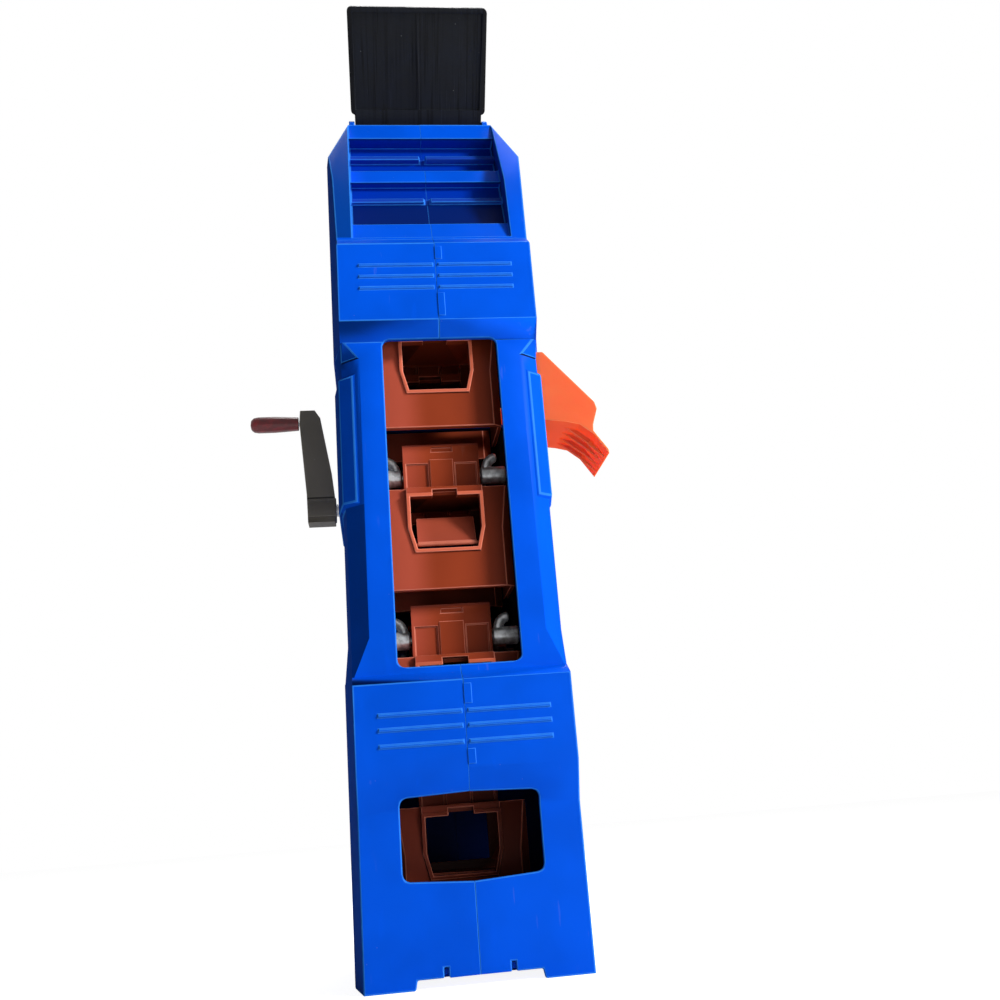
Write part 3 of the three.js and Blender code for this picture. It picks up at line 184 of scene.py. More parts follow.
class Wire:
    """An output socket of a node tree. Sums and products of wires add Math nodes."""

    __add__ = __radd__ = sign_for("ADD")
    __mul__ = __rmul__ = sign_for("MULTIPLY")
    __sub__ = sign_for("SUBTRACT")
    __truediv__ = sign_for("DIVIDE")
    __gt__ = sign_for("GREATER_THAN")
    __lt__ = sign_for("LESS_THAN")
    __abs__ = sign_for("ABSOLUTE")

    def __init__(self, tree, socket):
        self.tree = tree
        self.socket = socket

    def math(self, operation, *others):
        """A Math node on this wire and others."""
        return worked_out(self.tree, operation, self, *others)

    def __rsub__(self, other):
        return worked_out(self.tree, "SUBTRACT", other, self)

    def band(self, start, end):
        """0 before start, 1 after end, smooth between them. It falls where end is below start."""
        low, high = sorted((start, end))
        first, last = (0.0, 1.0) if start < end else (1.0, 0.0)
        inputs = {"Value": self, "From Min": low, "From Max": high, "To Min": first, "To Max": last}
        return node(self.tree, "ShaderNodeMapRange", inputs, interpolation_type="SMOOTHSTEP")


def node(tree, kind, inputs=None, output=0, **settings):
    """Adds a node: its settings first, then its sockets' values or links. Gives back one output."""
    made = tree.nodes.new(kind)
    for name, value in settings.items():
        setattr(made, name, value)
    for name, value in (inputs or {}).items():
        if isinstance(value, Wire):
            tree.links.new(value.socket, made.inputs[name])
        else:
            made.inputs[name].default_value = value
    return Wire(tree, made.outputs[output]) if len(made.outputs) else None


def worked_out(tree, operation, *values):
    """A Math node on numbers and wires."""
    return node(tree, "ShaderNodeMath", dict(enumerate(values)), operation=operation)


def vector_of(tree, x, y, z):
    """A vector from three numbers or wires."""
    return node(tree, "ShaderNodeCombineXYZ", {0: x, 1: y, 2: z})


def component(vector, axis):
    """The x, y or z of a vector."""
    return node(vector.tree, "ShaderNodeSeparateXYZ", {0: vector}, output="xyz".index(axis))


def seen_plainly(tree):
    """1 for what is seen straight or through a clear piece, 0.5 for a reflection, 0 for light."""
    rays = ("Is Camera Ray", "Is Glossy Ray", "Is Transmission Ray")
    straight, mirrored, through = (node(tree, "ShaderNodeLightPath", output=ray) for ray in rays)
    return straight + 0.5 * mirrored + through


def shaded(colour, factor):
    """The same colour, darker or lighter."""
    return tuple(min(1.0, channel * factor) for channel in colour[:3]) + (1.0,)


def tint(name):
    """A colour of the settings, or None where they hold none of this name."""
    found = getattr(bpy.context.scene.garage, f"{name}_colour", None)
    return found and tuple(found)


def emptied(holder):
    """The node tree of a material or a world, without the nodes that it starts with."""
    holder.use_nodes = True
    holder.node_tree.nodes.clear()
    return holder.node_tree


class Finish:
    """A material on Object coordinates, with the patterns that its surfaces share."""

    def __init__(self, name, turn=(0.0, 0.0, 0.0)):
        self.material = bpy.data.materials.new(name)
        self.tree = emptied(self.material)
        self.upright = node(self.tree, "ShaderNodeTexCoord", output="Object")
        around = {"Vector": self.upright, "Rotation": turn}
        self.place = node(self.tree, "ShaderNodeMapping", around)

    def blend(self, share, first, second):
        """Mixes two colours by a share of the second."""
        inputs = {0: share, 6: first, 7: second}
        return node(self.tree, "ShaderNodeMix", inputs, output=2, data_type="RGBA")

    def stretched(self, x, y, z):
        """The place, which draws patterns out along an axis with a factor below 1."""
        inputs = {0: self.place, 1: (x, y, z)}
        return node(self.tree, "ShaderNodeVectorMath", inputs, operation="MULTIPLY")

    def clouded(self, colour, clouds, light):
        """The colour, clouded from a darker to a lighter one."""
        return self.blend(clouds.band(0.35, 0.65), shaded(colour, 0.7), shaded(colour, light))

    def cloud(self, size, detail=3.0, at=None):
        """Soft noise from 0 to 1, with patches of about this size in metres."""
        inputs = {"Vector": at or self.place, "Scale": 1.0 / size, "Detail": detail}
        return node(self.tree, "ShaderNodeTexNoise", inputs)

    def specks(self, spacing, radius):
        """Round specks, 1 inside, this far apart and this wide in metres."""
        inputs = {"Vector": self.place, "Scale": 1.0 / spacing}
        reach = node(self.tree, "ShaderNodeTexVoronoi", inputs, feature="F1")
        return reach.band(radius / spacing, 0.5 * radius / spacing)

    def along(self, axis):
        """The place along x, y or z in metres."""
        return component(self.place, axis)

    def facing(self, axis):
        """How far a face looks along x, y or z, from -1 to 1."""
        return component(node(self.tree, "ShaderNodeTexCoord", output="Normal"), axis)

    def noted(self, mark):
        """What a piece's faces hold under a mark: corners are 1, and closed hollows near 1."""
        return node(self.tree, "ShaderNodeAttribute", output="Fac", attribute_name=mark)

    def sideways(self):
        """1 on faces that look left or right, 0 on the others."""
        return abs(self.facing("x")).band(0.25, 0.6)

    def upward(self, way=1.0):
        """1 on faces that look up, or down where way is -1, and 0 on the others."""
        return self.facing("z").band(0.2 * way, 0.7 * way)

    def relief(self, height, depth, under=None):
        """A bump of this depth in metres, over another bump where one is given."""
        inputs = {"Height": height, "Distance": depth}
        if under:
            inputs["Normal"] = under
        return node(self.tree, "ShaderNodeBump", inputs)

    def surface(self, inputs):
        """The material, ended with these values and wires."""
        shader = node(self.tree, "ShaderNodeBsdfPrincipled", inputs)
        node(self.tree, "ShaderNodeOutputMaterial", {"Surface": shader})
        return self.material


# Finishes


def moulded_plastic(name, piece, roughness, specular, lift, wear, details=None, glow=0.0):
    """Moulded plastic: slow colour drift, fine grain, faint marks, dust specks, painted highlights
    on the corners and painted shade in hollows.

    Lift is how far the colour drifts, and wear how much dust and rubbing shows. Details adds the
    piece's own marks, painted shade and painted light to the tone, and says where the painted shade
    of hollows may fall. Glow is the share of light that passes through, and the strength of a
    painted glow. Some settings hold painted highlights for corners and for ledges that look up,
    painted light and shade for the left and right, and a painted deeper colour for the underside."""
    made, colour = Finish(name), tint(piece)
    parts = ("edge", "left", "right", "ledge", "under")
    edge, left, right, ledge, under = (tint(f"{piece}_{part}") for part in parts)
    drift = made.cloud(45 * MM, detail=2.0)
    flow = made.cloud(9 * MM, at=made.stretched(1.0, 1.0, 0.22))
    tone = made.blend(drift.band(0.3, 0.7), shaded(colour, 1.0 - lift), shaded(colour, 1.0 + lift))
    tone = made.blend(flow.band(0.62, 0.75) * 0.25, tone, shaded(colour, 1.0 + 2.0 * lift))

    pale = tuple(0.3 + 0.7 * channel for channel in colour[:3]) + (1.0,)
    rubs = made.cloud(3.2 * MM, detail=4.0, at=made.stretched(1.0, 1.0, 0.12)).band(0.66, 0.72)
    rubs = rubs * drift.band(0.5, 0.62)
    dust = made.specks(11 * MM, 0.35 * MM) * wear
    tone = made.blend(rubs * (0.3 * wear), tone, pale)
    tone = made.blend(dust, tone, pale)

    # Painted light at the left, painted shade at the right, and a painted highlight on faces that
    # look up, where the settings hold these colours
    if left:
        tone = made.blend(made.along("x").band(*LIT_SPAN), tone, left)
        tone = made.blend(made.along("x").band(*SHADE_SPAN), tone, right)
        tone = made.blend(made.upward() * 0.25, tone, ledge)
    hollow_shade_share = 1.0
    if details:
        hollow_shade_share, tone = details(made, tone)
    # Painted highlights on the rounded corners, in patches, from the corner colour of the settings
    if edge:
        rubbed = made.noted(CORNER_MARK) * (0.4 + 0.4 * made.cloud(7 * MM))
        tone = made.blend(rubbed, tone, edge)
    closed = made.noted(HOLLOW_MARK) * (1.0 - glow)
    # A painted deeper colour and a painted glow on faces that look down, standing for light through
    # the plastic
    painted_glow = BLACK
    if under:
        below = made.upward(-1.0)
        tone = made.blend(below, tone, under)
        painted_glow = made.blend(below, painted_glow, shaded(under, 0.35))
    # Painted shade in the closed hollows, from the share of rays that the piece closes
    tone = made.blend(closed.band(0.1, 0.5) * 0.4 * hollow_shade_share, tone, shaded(colour, 0.35))
    tone = made.blend(closed.band(0.45, 0.8) * 0.94 * hollow_shade_share, tone, shaded(colour, 0.08))

    gloss = roughness + 0.1 * drift + 0.18 * rubs + 0.2 * dust
    grain = made.cloud(0.35 * MM, detail=2.0)
    waves = made.cloud(14 * MM, detail=1.0)
    return made.surface({
        "Base Color": tone,
        "Roughness": gloss + (0.9 - roughness) * made.sideways(),
        "Normal": made.relief(grain, 0.012 * MM, made.relief(waves, 0.06 * MM)),
        "Specular IOR Level": specular,
        "Subsurface Weight": glow,
        "Subsurface Radius": (1.0, 0.4, 0.2),
        "Subsurface Scale": 8.0 * MM,
        "Emission Color": painted_glow,
        "Emission Strength": glow,
    })


def louvre_details(made, tone):
    """Painted shade: a deeper blue in the louvres, darker below the low slat as its painted shadow
    and lighter on the slats, and on the cheek at their left.
    """
    height = made.along("z")
    behind = made.along("y") - (LOUVRE_FOOT_Y + LOUVRE_RUN * (height - LOUVRE_FOOT_Z))
    between = (abs(made.along("x")) < LOUVRE_HALF_WIDTH) * (behind < LOUVRE_DEPTH)
    between = between * (height > LOUVRE_FOOT_Z) * (height < LOUVRE_HEAD_Z)

    # Painted shade on the floors of the louvres, with a painted shadow below the low slat and less
    # shade on the slats' faces
    floor = tint("louvre")
    low = height.band(LOW_SLAT_Z + SLAT_SHADE, LOW_SLAT_Z - SLAT_SHADE)
    floor = made.blend(low, floor, shaded(floor, 0.22))
    for slat in (LOW_SLAT_Z, HIGH_SLAT_Z):
        face = abs(height - slat).band(SLAT_HALF_HEIGHT + 0.9 * MM, SLAT_HALF_HEIGHT + 0.1 * MM)
        floor = made.blend(face, floor, tint("slat"))

    # Painted shade on the cheek left of the louvres
    cheek = (made.along("x") < -LOUVRE_HALF_WIDTH) * (height > LOUVRE_FOOT_Z)
    cheek = cheek * (1.0 - made.sideways()) * (made.along("y") < 0.0)
    tone = made.blend(cheek * 0.8, tone, tint("louvre_cheek"))
    deep = behind.band(*LOUVRE_RAMP) * between
    return 1.0 - deep, made.blend(deep * 0.92, tone, floor)


def housing_details(made, tone):
    """Painted shade of darker blue on the faces towards the crank's side, less on the front of its
    pad, and the louvres' painted shade.
    """
    height = made.along("z")
    pad = (height > PAD_FOOT_Z) * (height < PAD_HEAD_Z) * (made.along("y") < PAD_BACK_Y)
    pad = pad * (1.0 - made.facing("x").band(*FLANK_SPAN))
    share = made.facing("x").band(*LEFTWARD_SPAN) * (1.0 - 0.75 * pad) * CRANK_SIDE_SHARE
    return louvre_details(made, made.blend(share, tone, tint("crank_side")))


def carrier_details(made, tone):
    """Painted highlights on the rims of the openings in front, and a painted shade of deep red on
    the bottom carrier.
    """
    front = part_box("carrier_front_middle")[0][1]
    # A painted highlight on the front rims of the openings
    rim = made.along("y").band(*(front + reach for reach in RIM_SPAN))
    tone = made.blend(rim * 0.85, tone, tint("rim"))
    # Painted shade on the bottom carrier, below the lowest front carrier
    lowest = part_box("carrier_front_low")[0][2]
    sunk = made.along("z").band(lowest, lowest - SUNK_FADE)
    return 1.0, made.blend(sunk * 0.5, tone, tint("sunk"))


def arm_details(made, tone):
    """The dark parting line between the crank arm and its hub, and the shade below it."""
    height = made.along("z")
    line = abs(height - ARM_GROOVE_Z).band(*ARM_GROOVE_SPAN)
    below = height.band(ARM_GROOVE_Z, ARM_GROOVE_Z - ARM_SHADE_DEPTH)
    tone = made.blend(below * 0.35, tone, shaded(tint("arm"), 0.3))
    return 1.0 - line, made.blend(line * 0.85, tone, (0.01, 0.01, 0.01, 1.0))


def scratched_panel(name, piece):
    """Black sheet plastic with a darker rim, long dull streaks and a little dust.

    Its turn lays the panel's length along z, and the streaks with it."""
    lean = math.pi / 2 - bpy.context.scene.garage.deck_lean
    made, colour = Finish(name, (lean, 0.0, 0.0)), tint(piece)
    down = made.stretched(1.0, 0.02, 0.3)
    streaks = made.cloud(1.6 * MM, detail=2.0, at=down).band(0.5, 0.62)
    fine = made.cloud(0.9 * MM, detail=2.0, at=down).band(0.62, 0.72)
    patches = made.cloud(20 * MM, detail=2.0, at=made.stretched(1.0, 0.4, 0.5)).band(0.42, 0.6)
    film = made.cloud(30 * MM).band(0.35, 0.75)
    dust = made.specks(9 * MM, 0.42 * MM)
    side, _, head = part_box("deck_flap")[1]
    rim = abs(made.along("x")).band(*(side - inset for inset in DECK_SIDE_SPAN))
    top = component(made.upright, "z").band(*(head - inset for inset in DECK_HEAD_SPAN))

    tone = made.blend(film, shaded(colour, 0.8), shaded(colour, 1.5))
    tone = made.blend(streaks * patches * 0.7, tone, shaded(colour, 0.25))
    tone = made.blend(fine * patches * 0.3, tone, shaded(colour, 4.0))
    tone = made.blend(dust * 0.2, tone, (0.4, 0.42, 0.4, 1.0))
    tone = made.blend(rim.math("MAXIMUM", top) * 0.8, tone, shaded(colour, 0.2))
    grain = made.cloud(0.3 * MM, detail=2.0)
    return made.surface({
        "Base Color": tone,
        "Roughness": 0.45 + 0.2 * film + 0.1 * streaks,
        "Normal": made.relief(streaks * patches, 0.03 * MM, made.relief(grain, 0.015 * MM)),
        "Specular IOR Level": 0.15,
    })


def turned_steel(name, piece):
    """Bright steel with fine lines round its axis and a few dull patches."""
    made, colour = Finish(name), tint(piece)
    lines = made.cloud(0.25 * MM, detail=2.0, at=made.stretched(1.0, 0.06, 0.06))
    dull = made.cloud(5 * MM).band(0.45, 0.7)
    return made.surface({
        "Base Color": made.blend(dull, colour, shaded(colour, 0.72)),
        "Metallic": 1.0,
        "Roughness": 0.24 + 0.12 * lines + 0.14 * dull,
        "Normal": made.relief(lines, 0.008 * MM),
    })


def silvered_plastic(name, piece):
    """Bright silver-grey plastic with clouded and rubbed patches."""
    made, colour = Finish(name), tint(piece)
    clouds = made.cloud(3 * MM)
    rubs = made.cloud(1.2 * MM, detail=4.0, at=made.stretched(0.3, 1.0, 1.0)).band(0.55, 0.7)
    tone = made.clouded(colour, clouds, 1.2)
    return made.surface({
        "Base Color": made.blend(rubs * 0.3, tone, shaded(colour, 1.7)),
        "Metallic": 0.35 + 0.3 * clouds,
        "Roughness": 0.26 + 0.16 * clouds + 0.15 * rubs,
        "Normal": made.relief(made.cloud(0.6 * MM, detail=2.0), 0.02 * MM),
        "Specular IOR Level": 0.8,
    })


def belt_rubber(name, piece):
    """Matt rubber with chalky rubbed patches and a fine grain."""
    made, colour = Finish(name), tint(piece)
    chalk = made.cloud(4 * MM, detail=4.0).band(0.5, 0.72)
    return made.surface({
        "Base Color": made.blend(chalk, colour, shaded(colour, 2.4)),
        "Roughness": 0.72 + 0.15 * chalk,
        "Normal": made.relief(made.cloud(0.4 * MM), 0.05 * MM),
        "Specular IOR Level": 0.3,
    })


def coated_grip(name, piece):
    """Deep red gloss plastic with cloudy and rubbed patches under a clear coat."""
    made, colour = Finish(name), tint(piece)
    clouds = made.cloud(6 * MM)
    rubs = made.cloud(1.2 * MM, at=made.stretched(0.2, 1.0, 1.0)).band(0.6, 0.7)
    tone = made.clouded(colour, clouds, 1.25)
    return made.surface({
        "Base Color": made.blend(rubs * 0.2, tone, shaded(colour, 2.2)),
        "Roughness": 0.34 + 0.15 * rubs,
        "Coat Weight": 0.35,
        "Normal": made.relief(made.cloud(0.5 * MM, detail=2.0), 0.01 * MM),
        "Specular IOR Level": 0.4,
    })


# Each finish's maker and piece, then roughness, mirror light, lift, wear, marks with painted shade
# and light, and glow
FINISHES = {
    "housing_blue": (moulded_plastic, "housing", 0.36, 0.05, 0.08, 0.25, housing_details),
    "carrier_orange": (moulded_plastic, "carrier", 0.38, 0.12, 0.08, 0.2, carrier_details),
    "chute_orange": (moulded_plastic, "chute", 0.45, 0.06, 0.06, 0.2, None, 0.85),
    "arm_grey": (moulded_plastic, "arm", 0.45, 0.2, 0.12, 0.6, arm_details),
    "track_black": (moulded_plastic, "track", 0.5, 0.3, 0.2, 0.6),
    "pulley_white": (moulded_plastic, "pulley", 0.45, 0.3, 0.04, 0.2),
    "link_grey": (silvered_plastic, "link"),
    "deck_black": (scratched_panel, "deck"),
    "grip_red": (coated_grip, "grip"),
    "steel": (turned_steel, "steel"),
    "belt_rubber": (belt_rubber, "belt"),
}


def finish_named(name):
    """The finish of this name, made once from the settings."""
    found = bpy.data.materials.get(name)
    if found:
        return found
    maker, *values = FINISHES[name]
    return maker(name, *values)


# Shapes


def put_in(name, data):
    """A new object of the scene with this mesh, lamp or lens."""
    made = bpy.data.objects.new(name, data)
    bpy.context.scene.collection.objects.link(made)
    return made


def coat(target, finish):
    """Gives an object one finish."""
    target.data.materials.clear()
    target.data.materials.append(finish_named(finish))


def cleaned(node_name):
    """A CAD node's mesh in a new bmesh, merged, with its wide flat faces cut anew."""
    form = bmesh.new()
    form.from_mesh(frame["nodes"][node_name].data)
    bmesh.ops.remove_doubles(form, verts=form.verts, dist=WELD_REACH)
    bmesh.ops.dissolve_degenerate(form, edges=form.edges, dist=SHORTEST_EDGE)
    bmesh.ops.dissolve_limit(form, angle_limit=FLAT_TURN, verts=form.verts, edges=form.edges)
    wide = [face for face in form.faces if len(face.verts) > 4]
    bmesh.ops.triangulate(form, faces=wide)
    form.normal_update()
    return form


def room_beside(edge):
    """The widest bevel that an edge's neighbours leave room for."""
    along = (edge.verts[1].co - edge.verts[0].co).normalized()
    room = 1.0
    for loop in edge.link_loops:
        for beside in (loop.link_loop_prev.edge, loop.link_loop_next.edge):
            run = beside.verts[1].co - beside.verts[0].co
            across = run.cross(along).length
            if across > LEAST_SLANT * run.length:
                room = min(room, ROOM_SHARE * across)
    return room


def at_seam(edge):
    """Whether an edge lies where the two halves meet."""
    return all(abs(vert.co.x) < SEAM_REACH for vert in edge.verts)


def close_seam(form):
    """Brings the two halves together to a hairline, as they sit on the real tower."""
    for vert in form.verts:
        if abs(vert.co.x) < SEAM_REACH:
            vert.co.x = math.copysign(SEAM_HAIRLINE, vert.co.x)


def softened(node_name, width, segments=2):
    """A copy of a CAD node with its corners rounded to this width."""
    form = cleaned(node_name)
    seamed = node_name.startswith("shell")
    shares = []
    for edge in form.edges:
        sharp = edge.is_manifold and edge.calc_face_angle(0.0) > SHARP_TURN
        wanted = width * (SEAM_SHARE if seamed and at_seam(edge) else 1.0)
        share = min(wanted, room_beside(edge)) / width if sharp else 0.0
        shares.append(share if share > LEAST_SHARE else 0.0)
        edge.smooth = not sharp or share > LEAST_SHARE
    if seamed:
        close_seam(form)
    for face in form.faces:
        face.smooth = True
    form.edges.index_update()
    form.normal_update()
    piece = rounded(node_name + "_soft", form, shares, width, segments)
    for _ in range(ROUNDING_TRIES):
        if not keep_sharp(form, shares, strays(piece, form, width), width):
            break
        bpy.data.objects.remove(piece)
        piece = rounded(node_name + "_soft", form, shares, width, segments)
    form.free()
    walls = [shell for shell in SHELLS if seamed and shell != node_name]
    return hollowed(marked(piece), walls)


def rounded(name, form, shares, width, segments):
    """The form as an object, with each edge rounded by its share of the width.

    In the shading the broad faces stay flat, and only the rounded corners turn."""
    mesh = bpy.data.meshes.new(name)
    form.to_mesh(mesh)
    mesh.attributes.new("bevel_weight_edge", "FLOAT", "EDGE").data.foreach_set("value", shares)
    mesh.materials.append(None)
    mesh.materials.append(None)
    piece = put_in(name, mesh)
    bevel = piece.modifiers.new("corners", "BEVEL")
    bevel.limit_method = "WEIGHT"
    bevel.width = width
    bevel.segments = segments
    bevel.use_clamp_overlap = False
    bevel.material = 1
    shading = piece.modifiers.new("shading", "WEIGHTED_NORMAL")
    shading.mode = "FACE_AREA"
    shading.weight = 100
    shading.keep_sharp = True
    return settled(piece)


def strays(piece, form, width):
    """Places where the rounded skin left the form, folded over, or opened a gap in it."""
    old = BVHTree.FromBMesh(form)
    mesh = piece.data
    corners = [vert.co for vert in mesh.vertices]
    new = BVHTree.FromPolygons(corners, [face.vertices for face in mesh.polygons])
    spots = []
    for face in mesh.polygons:
        place, normal, _, reach = old.find_nearest(face.center)
        folded = face.normal.dot(normal) < FOLD_DOT and face.area > (FOLD_SHARE * width) ** 2
        if reach > STRAY_SHARE * width or folded:
            spots.append(place)
    for face in form.faces:
        centre = face.calc_center_median()
        for vert in face.verts:
            for share in GAP_PROBES:
                place = centre.lerp(vert.co, share)
                if new.find_nearest(place)[3] > GAP_SHARE * width:
                    spots.append(place)
    return spots


def keep_sharp(form, shares, spots, width):
    """Takes the rounding off the edges that pass near these places, and says whether any did."""
    if not spots:
        return False
    tree = KDTree(len(spots))
    for index, place in enumerate(spots):
        tree.insert(place, index)
    tree.balance()

    def passes_near(edge):
        start, end = (vert.co for vert in edge.verts)
        steps = max(2, math.ceil((end - start).length / width))
        probes = (start.lerp(end, step / steps) for step in range(steps + 1))
        return any(tree.find(probe)[2] < NEAR_SHARE * width for probe in probes)

    near = [edge for edge in form.edges if shares[edge.index] and passes_near(edge)]
    for edge in near:
        shares[edge.index] = 0.0
        edge.smooth = False
    return bool(near)


def marked(piece):
    """Notes which faces are rounded corners, for the finishes that paint highlights on them."""
    faces = piece.data.polygons
    mark = piece.data.attributes.new(CORNER_MARK, "FLOAT", "FACE")
    mark.data.foreach_set("value", [float(face.material_index == 1) for face in faces])
    faces.foreach_set("material_index", [0] * len(faces))
    return piece


def hollowed(piece, walls=()):
    """Notes for each face which share of the directions in front of it the piece closes.

    Walls are CAD nodes that close it in as well."""
    mesh = piece.data
    corners = [vert.co for vert in mesh.vertices]
    faces = [tuple(face.vertices) for face in mesh.polygons]
    for wall in walls:
        other = frame["nodes"][wall].data
        first = len(corners)
        faces += [tuple(first + corner for corner in face.vertices) for face in other.polygons]
        corners += [vert.co for vert in other.vertices]
    skin = BVHTree.FromPolygons(corners, faces)
    turn = math.pi * (3.0 - math.sqrt(5.0))
    rays = []
    for step in range(HOLLOW_RAYS):
        rise = math.sqrt(1.0 - (step + 0.5) / HOLLOW_RAYS)
        reach = math.sqrt(1.0 - rise * rise)
        rays.append(Vector((reach * math.cos(turn * step), reach * math.sin(turn * step), rise)))
    closed = []
    for face in mesh.polygons:
        upright = face.normal.to_track_quat("Z", "Y").to_matrix()
        start = face.center + face.normal * HOLLOW_LIFT
        hits = sum(skin.ray_cast(start, upright @ ray, HOLLOW_REACH)[0] is not None for ray in rays)
        closed.append(hits / HOLLOW_RAYS)
    mesh.attributes.new(HOLLOW_MARK, "FLOAT", "FACE").data.foreach_set("value", closed)
    return piece


def settled(piece):
    """Turns an object with modifiers into the plain mesh that they give."""
    graph = bpy.context.evaluated_depsgraph_get()
    plain = bpy.data.meshes.new_from_object(piece.evaluated_get(graph))
    piece.modifiers.clear()
    old = piece.data
    piece.data = plain
    bpy.data.meshes.remove(old)
    plain.name = piece.name
    return piece


def dress(piece, body, finish, replaced):
    """Finishes a piece that rides on this body and stands for these CAD nodes."""
    coat(piece, finish)
    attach(piece, body)
    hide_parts(*replaced)


def soften_all(names, width, finish, segments=2):
    """Rounds the corners of CAD nodes and finishes the copies."""
    for name in names:
        dress(softened(name, width, segments), body_of(name), finish, (name,))


def coat_nodes(names, finish):
    """Finishes CAD nodes that stay as they are."""
    for name in names:
        coat(frame["nodes"][name], finish)


# Grown shapes


class Spot(NamedTuple):
    """Where a shape is set, the way it faces, and its head's and shank's lengths."""

    place: tuple
    facing: tuple = (0.0, 0.0, 1.0)
    stretch: tuple = (1.0, 1.0, 1.0)


def grown(name, spots, sizes, shape_of, finish):
    """The plain mesh that a Geometry Nodes tree, with sizes as inputs, grows on these spots."""
    tree = bpy.data.node_groups.new(name, "GeometryNodeTree")
    tree.interface.new_socket("Geometry", in_out="INPUT", socket_type="NodeSocketGeometry")
    tree.interface.new_socket("Geometry", in_out="OUTPUT", socket_type="NodeSocketGeometry")
    for label in sizes:
        tree.interface.new_socket(label, in_out="INPUT", socket_type="NodeSocketFloat")
    start = tree.nodes.new("NodeGroupInput")
    inputs = {socket.name: Wire(tree, socket) for socket in start.outputs if socket.name}
    shape = shape_of(tree, inputs)
    plain = node(tree, "GeometryNodeRealizeInstances", {0: shape})
    smooth = node(tree, "GeometryNodeSetShadeSmooth", {"Geometry": plain})
    inputs = {"Geometry": smooth, "Material": finish_named(finish)}
    coated = node(tree, "GeometryNodeSetMaterial", inputs)
    node(tree, "NodeGroupOutput", {0: coated})

    mesh = bpy.data.meshes.new(name)
    mesh.from_pydata([spot.place for spot in spots], [], [])
    for label in ("facing", "stretch"):
        flat = [part for spot in spots for part in getattr(spot, label)]
        mesh.attributes.new(label, "FLOAT_VECTOR", "POINT").data.foreach_set("vector", flat)
    piece = put_in(name, mesh)
    growth = piece.modifiers.new("growth", "NODES")
    growth.node_group = tree
    for socket in tree.interface.items_tree:
        if socket.in_out == "INPUT" and socket.name in sizes:
            growth[socket.identifier] = sizes[socket.name]
    settled(piece)
    piece.data.set_sharp_from_angle(angle=SMOOTH_TURN)
    return piece


def attribute_of(tree, name):
    """The facing or the stretch of a spot."""
    kind = "GeometryNodeInputNamedAttribute"
    return node(tree, kind, {"Name": name}, data_type="FLOAT_VECTOR")


def together(tree, *parts):
    """Joins several shapes into one."""
    made = tree.nodes.new("GeometryNodeJoinGeometry")
    for part in reversed(parts):
        tree.links.new(part.socket, made.inputs[0])
    return Wire(tree, made.outputs[0])


def line_between(tree, start, end):
    """A straight path."""
    inputs = {"Start": start, "End": end}
    return node(tree, "GeometryNodeCurvePrimitiveLine", inputs, mode="POINTS")


def ring_path(tree, steps, radius):
    """A circle in the x-y plane."""
    inputs = {"Resolution": steps, "Radius": radius}
    return node(tree, "GeometryNodeCurvePrimitiveCircle", inputs, mode="RADIUS")


def rod_along(tree, path, points, radius_at, sides=24):
    """A round rod along a path. Its radius follows the share of the way along it."""
    even = node(tree, "GeometryNodeResampleCurve", {"Curve": path, "Count": points})
    radius = radius_at(node(tree, "GeometryNodeSplineParameter"))
    section = ring_path(tree, sides, 1.0)
    inputs = {"Curve": even, "Profile Curve": section, "Scale": radius, "Fill Caps": True}
    return node(tree, "GeometryNodeCurveToMesh", inputs)


def rounded_ends(radius, rounding, reach):
    """The radius along a rod of this length whose two rims are rounded."""

    def radius_at(share):
        away = share.math("MINIMUM", 1.0 - share) * reach
        turn = (1.0 - away / rounding).math("MAXIMUM", 0.0)
        return radius - rounding * (1.0 - (1.0 - turn * turn).math("SQRT"))

    return radius_at


def set_on(tree, points, shape, turn=(0.0, 0.0, 0.0), scale=(1.0, 1.0, 1.0)):
    """Sets a shape on each point."""
    inputs = {"Points": points, "Instance": shape, "Rotation": turn, "Scale": scale}
    return node(tree, "GeometryNodeInstanceOnPoints", inputs)


def hook_shape(tree, size, reach):
    """One link: a round boss on the axle, and a hook that curls up and outward over it."""
    inner = size["Plate start"]
    rim = rounded_ends(size["Boss radius"], size["Rounding"], reach - inner)
    line = line_between(tree, vector_of(tree, inner, 0.0, 0.0), vector_of(tree, reach, 0.0, 0.0))
    boss = rod_along(tree, line, BOSS_STEPS, rim)
    middle = inner + size["Hook radius"] * HOOK_ROOT
    inputs = {
        "Resolution": HOOK_STEPS,
        "Start": vector_of(tree, middle, 0.0, 0.0),
        "Middle": vector_of(tree, middle, 0.0, size["Hook height"]),
        "End": vector_of(tree, size["Hook end"], 0.0, size["Hook height"]),
    }
    path = node(tree, "GeometryNodeCurveQuadraticBezier", inputs)

    def radius_at(share):
        tip = ((share - HOOK_TIP_START) / (1.0 - HOOK_TIP_START)).math("MAXIMUM", 0.0) * HOOK_BLUNT
        taper = HOOK_ROOT - (HOOK_ROOT - 1.0) * share
        return size["Hook radius"] * taper * (1.0 - tip * tip).math("SQRT")

    return together(tree, boss, rod_along(tree, path, HOOK_RINGS, radius_at))


def link_shape(tree, size):
    """Both links of each hanger, on the points of its axle."""
    right = hook_shape(tree, size, size["Right reach"])
    left = hook_shape(tree, size, size["Left reach"])
    return together(
        tree,
        set_on(tree, size["Geometry"], right),
        set_on(tree, size["Geometry"], left, (0.0, 0.0, math.pi)),
    )


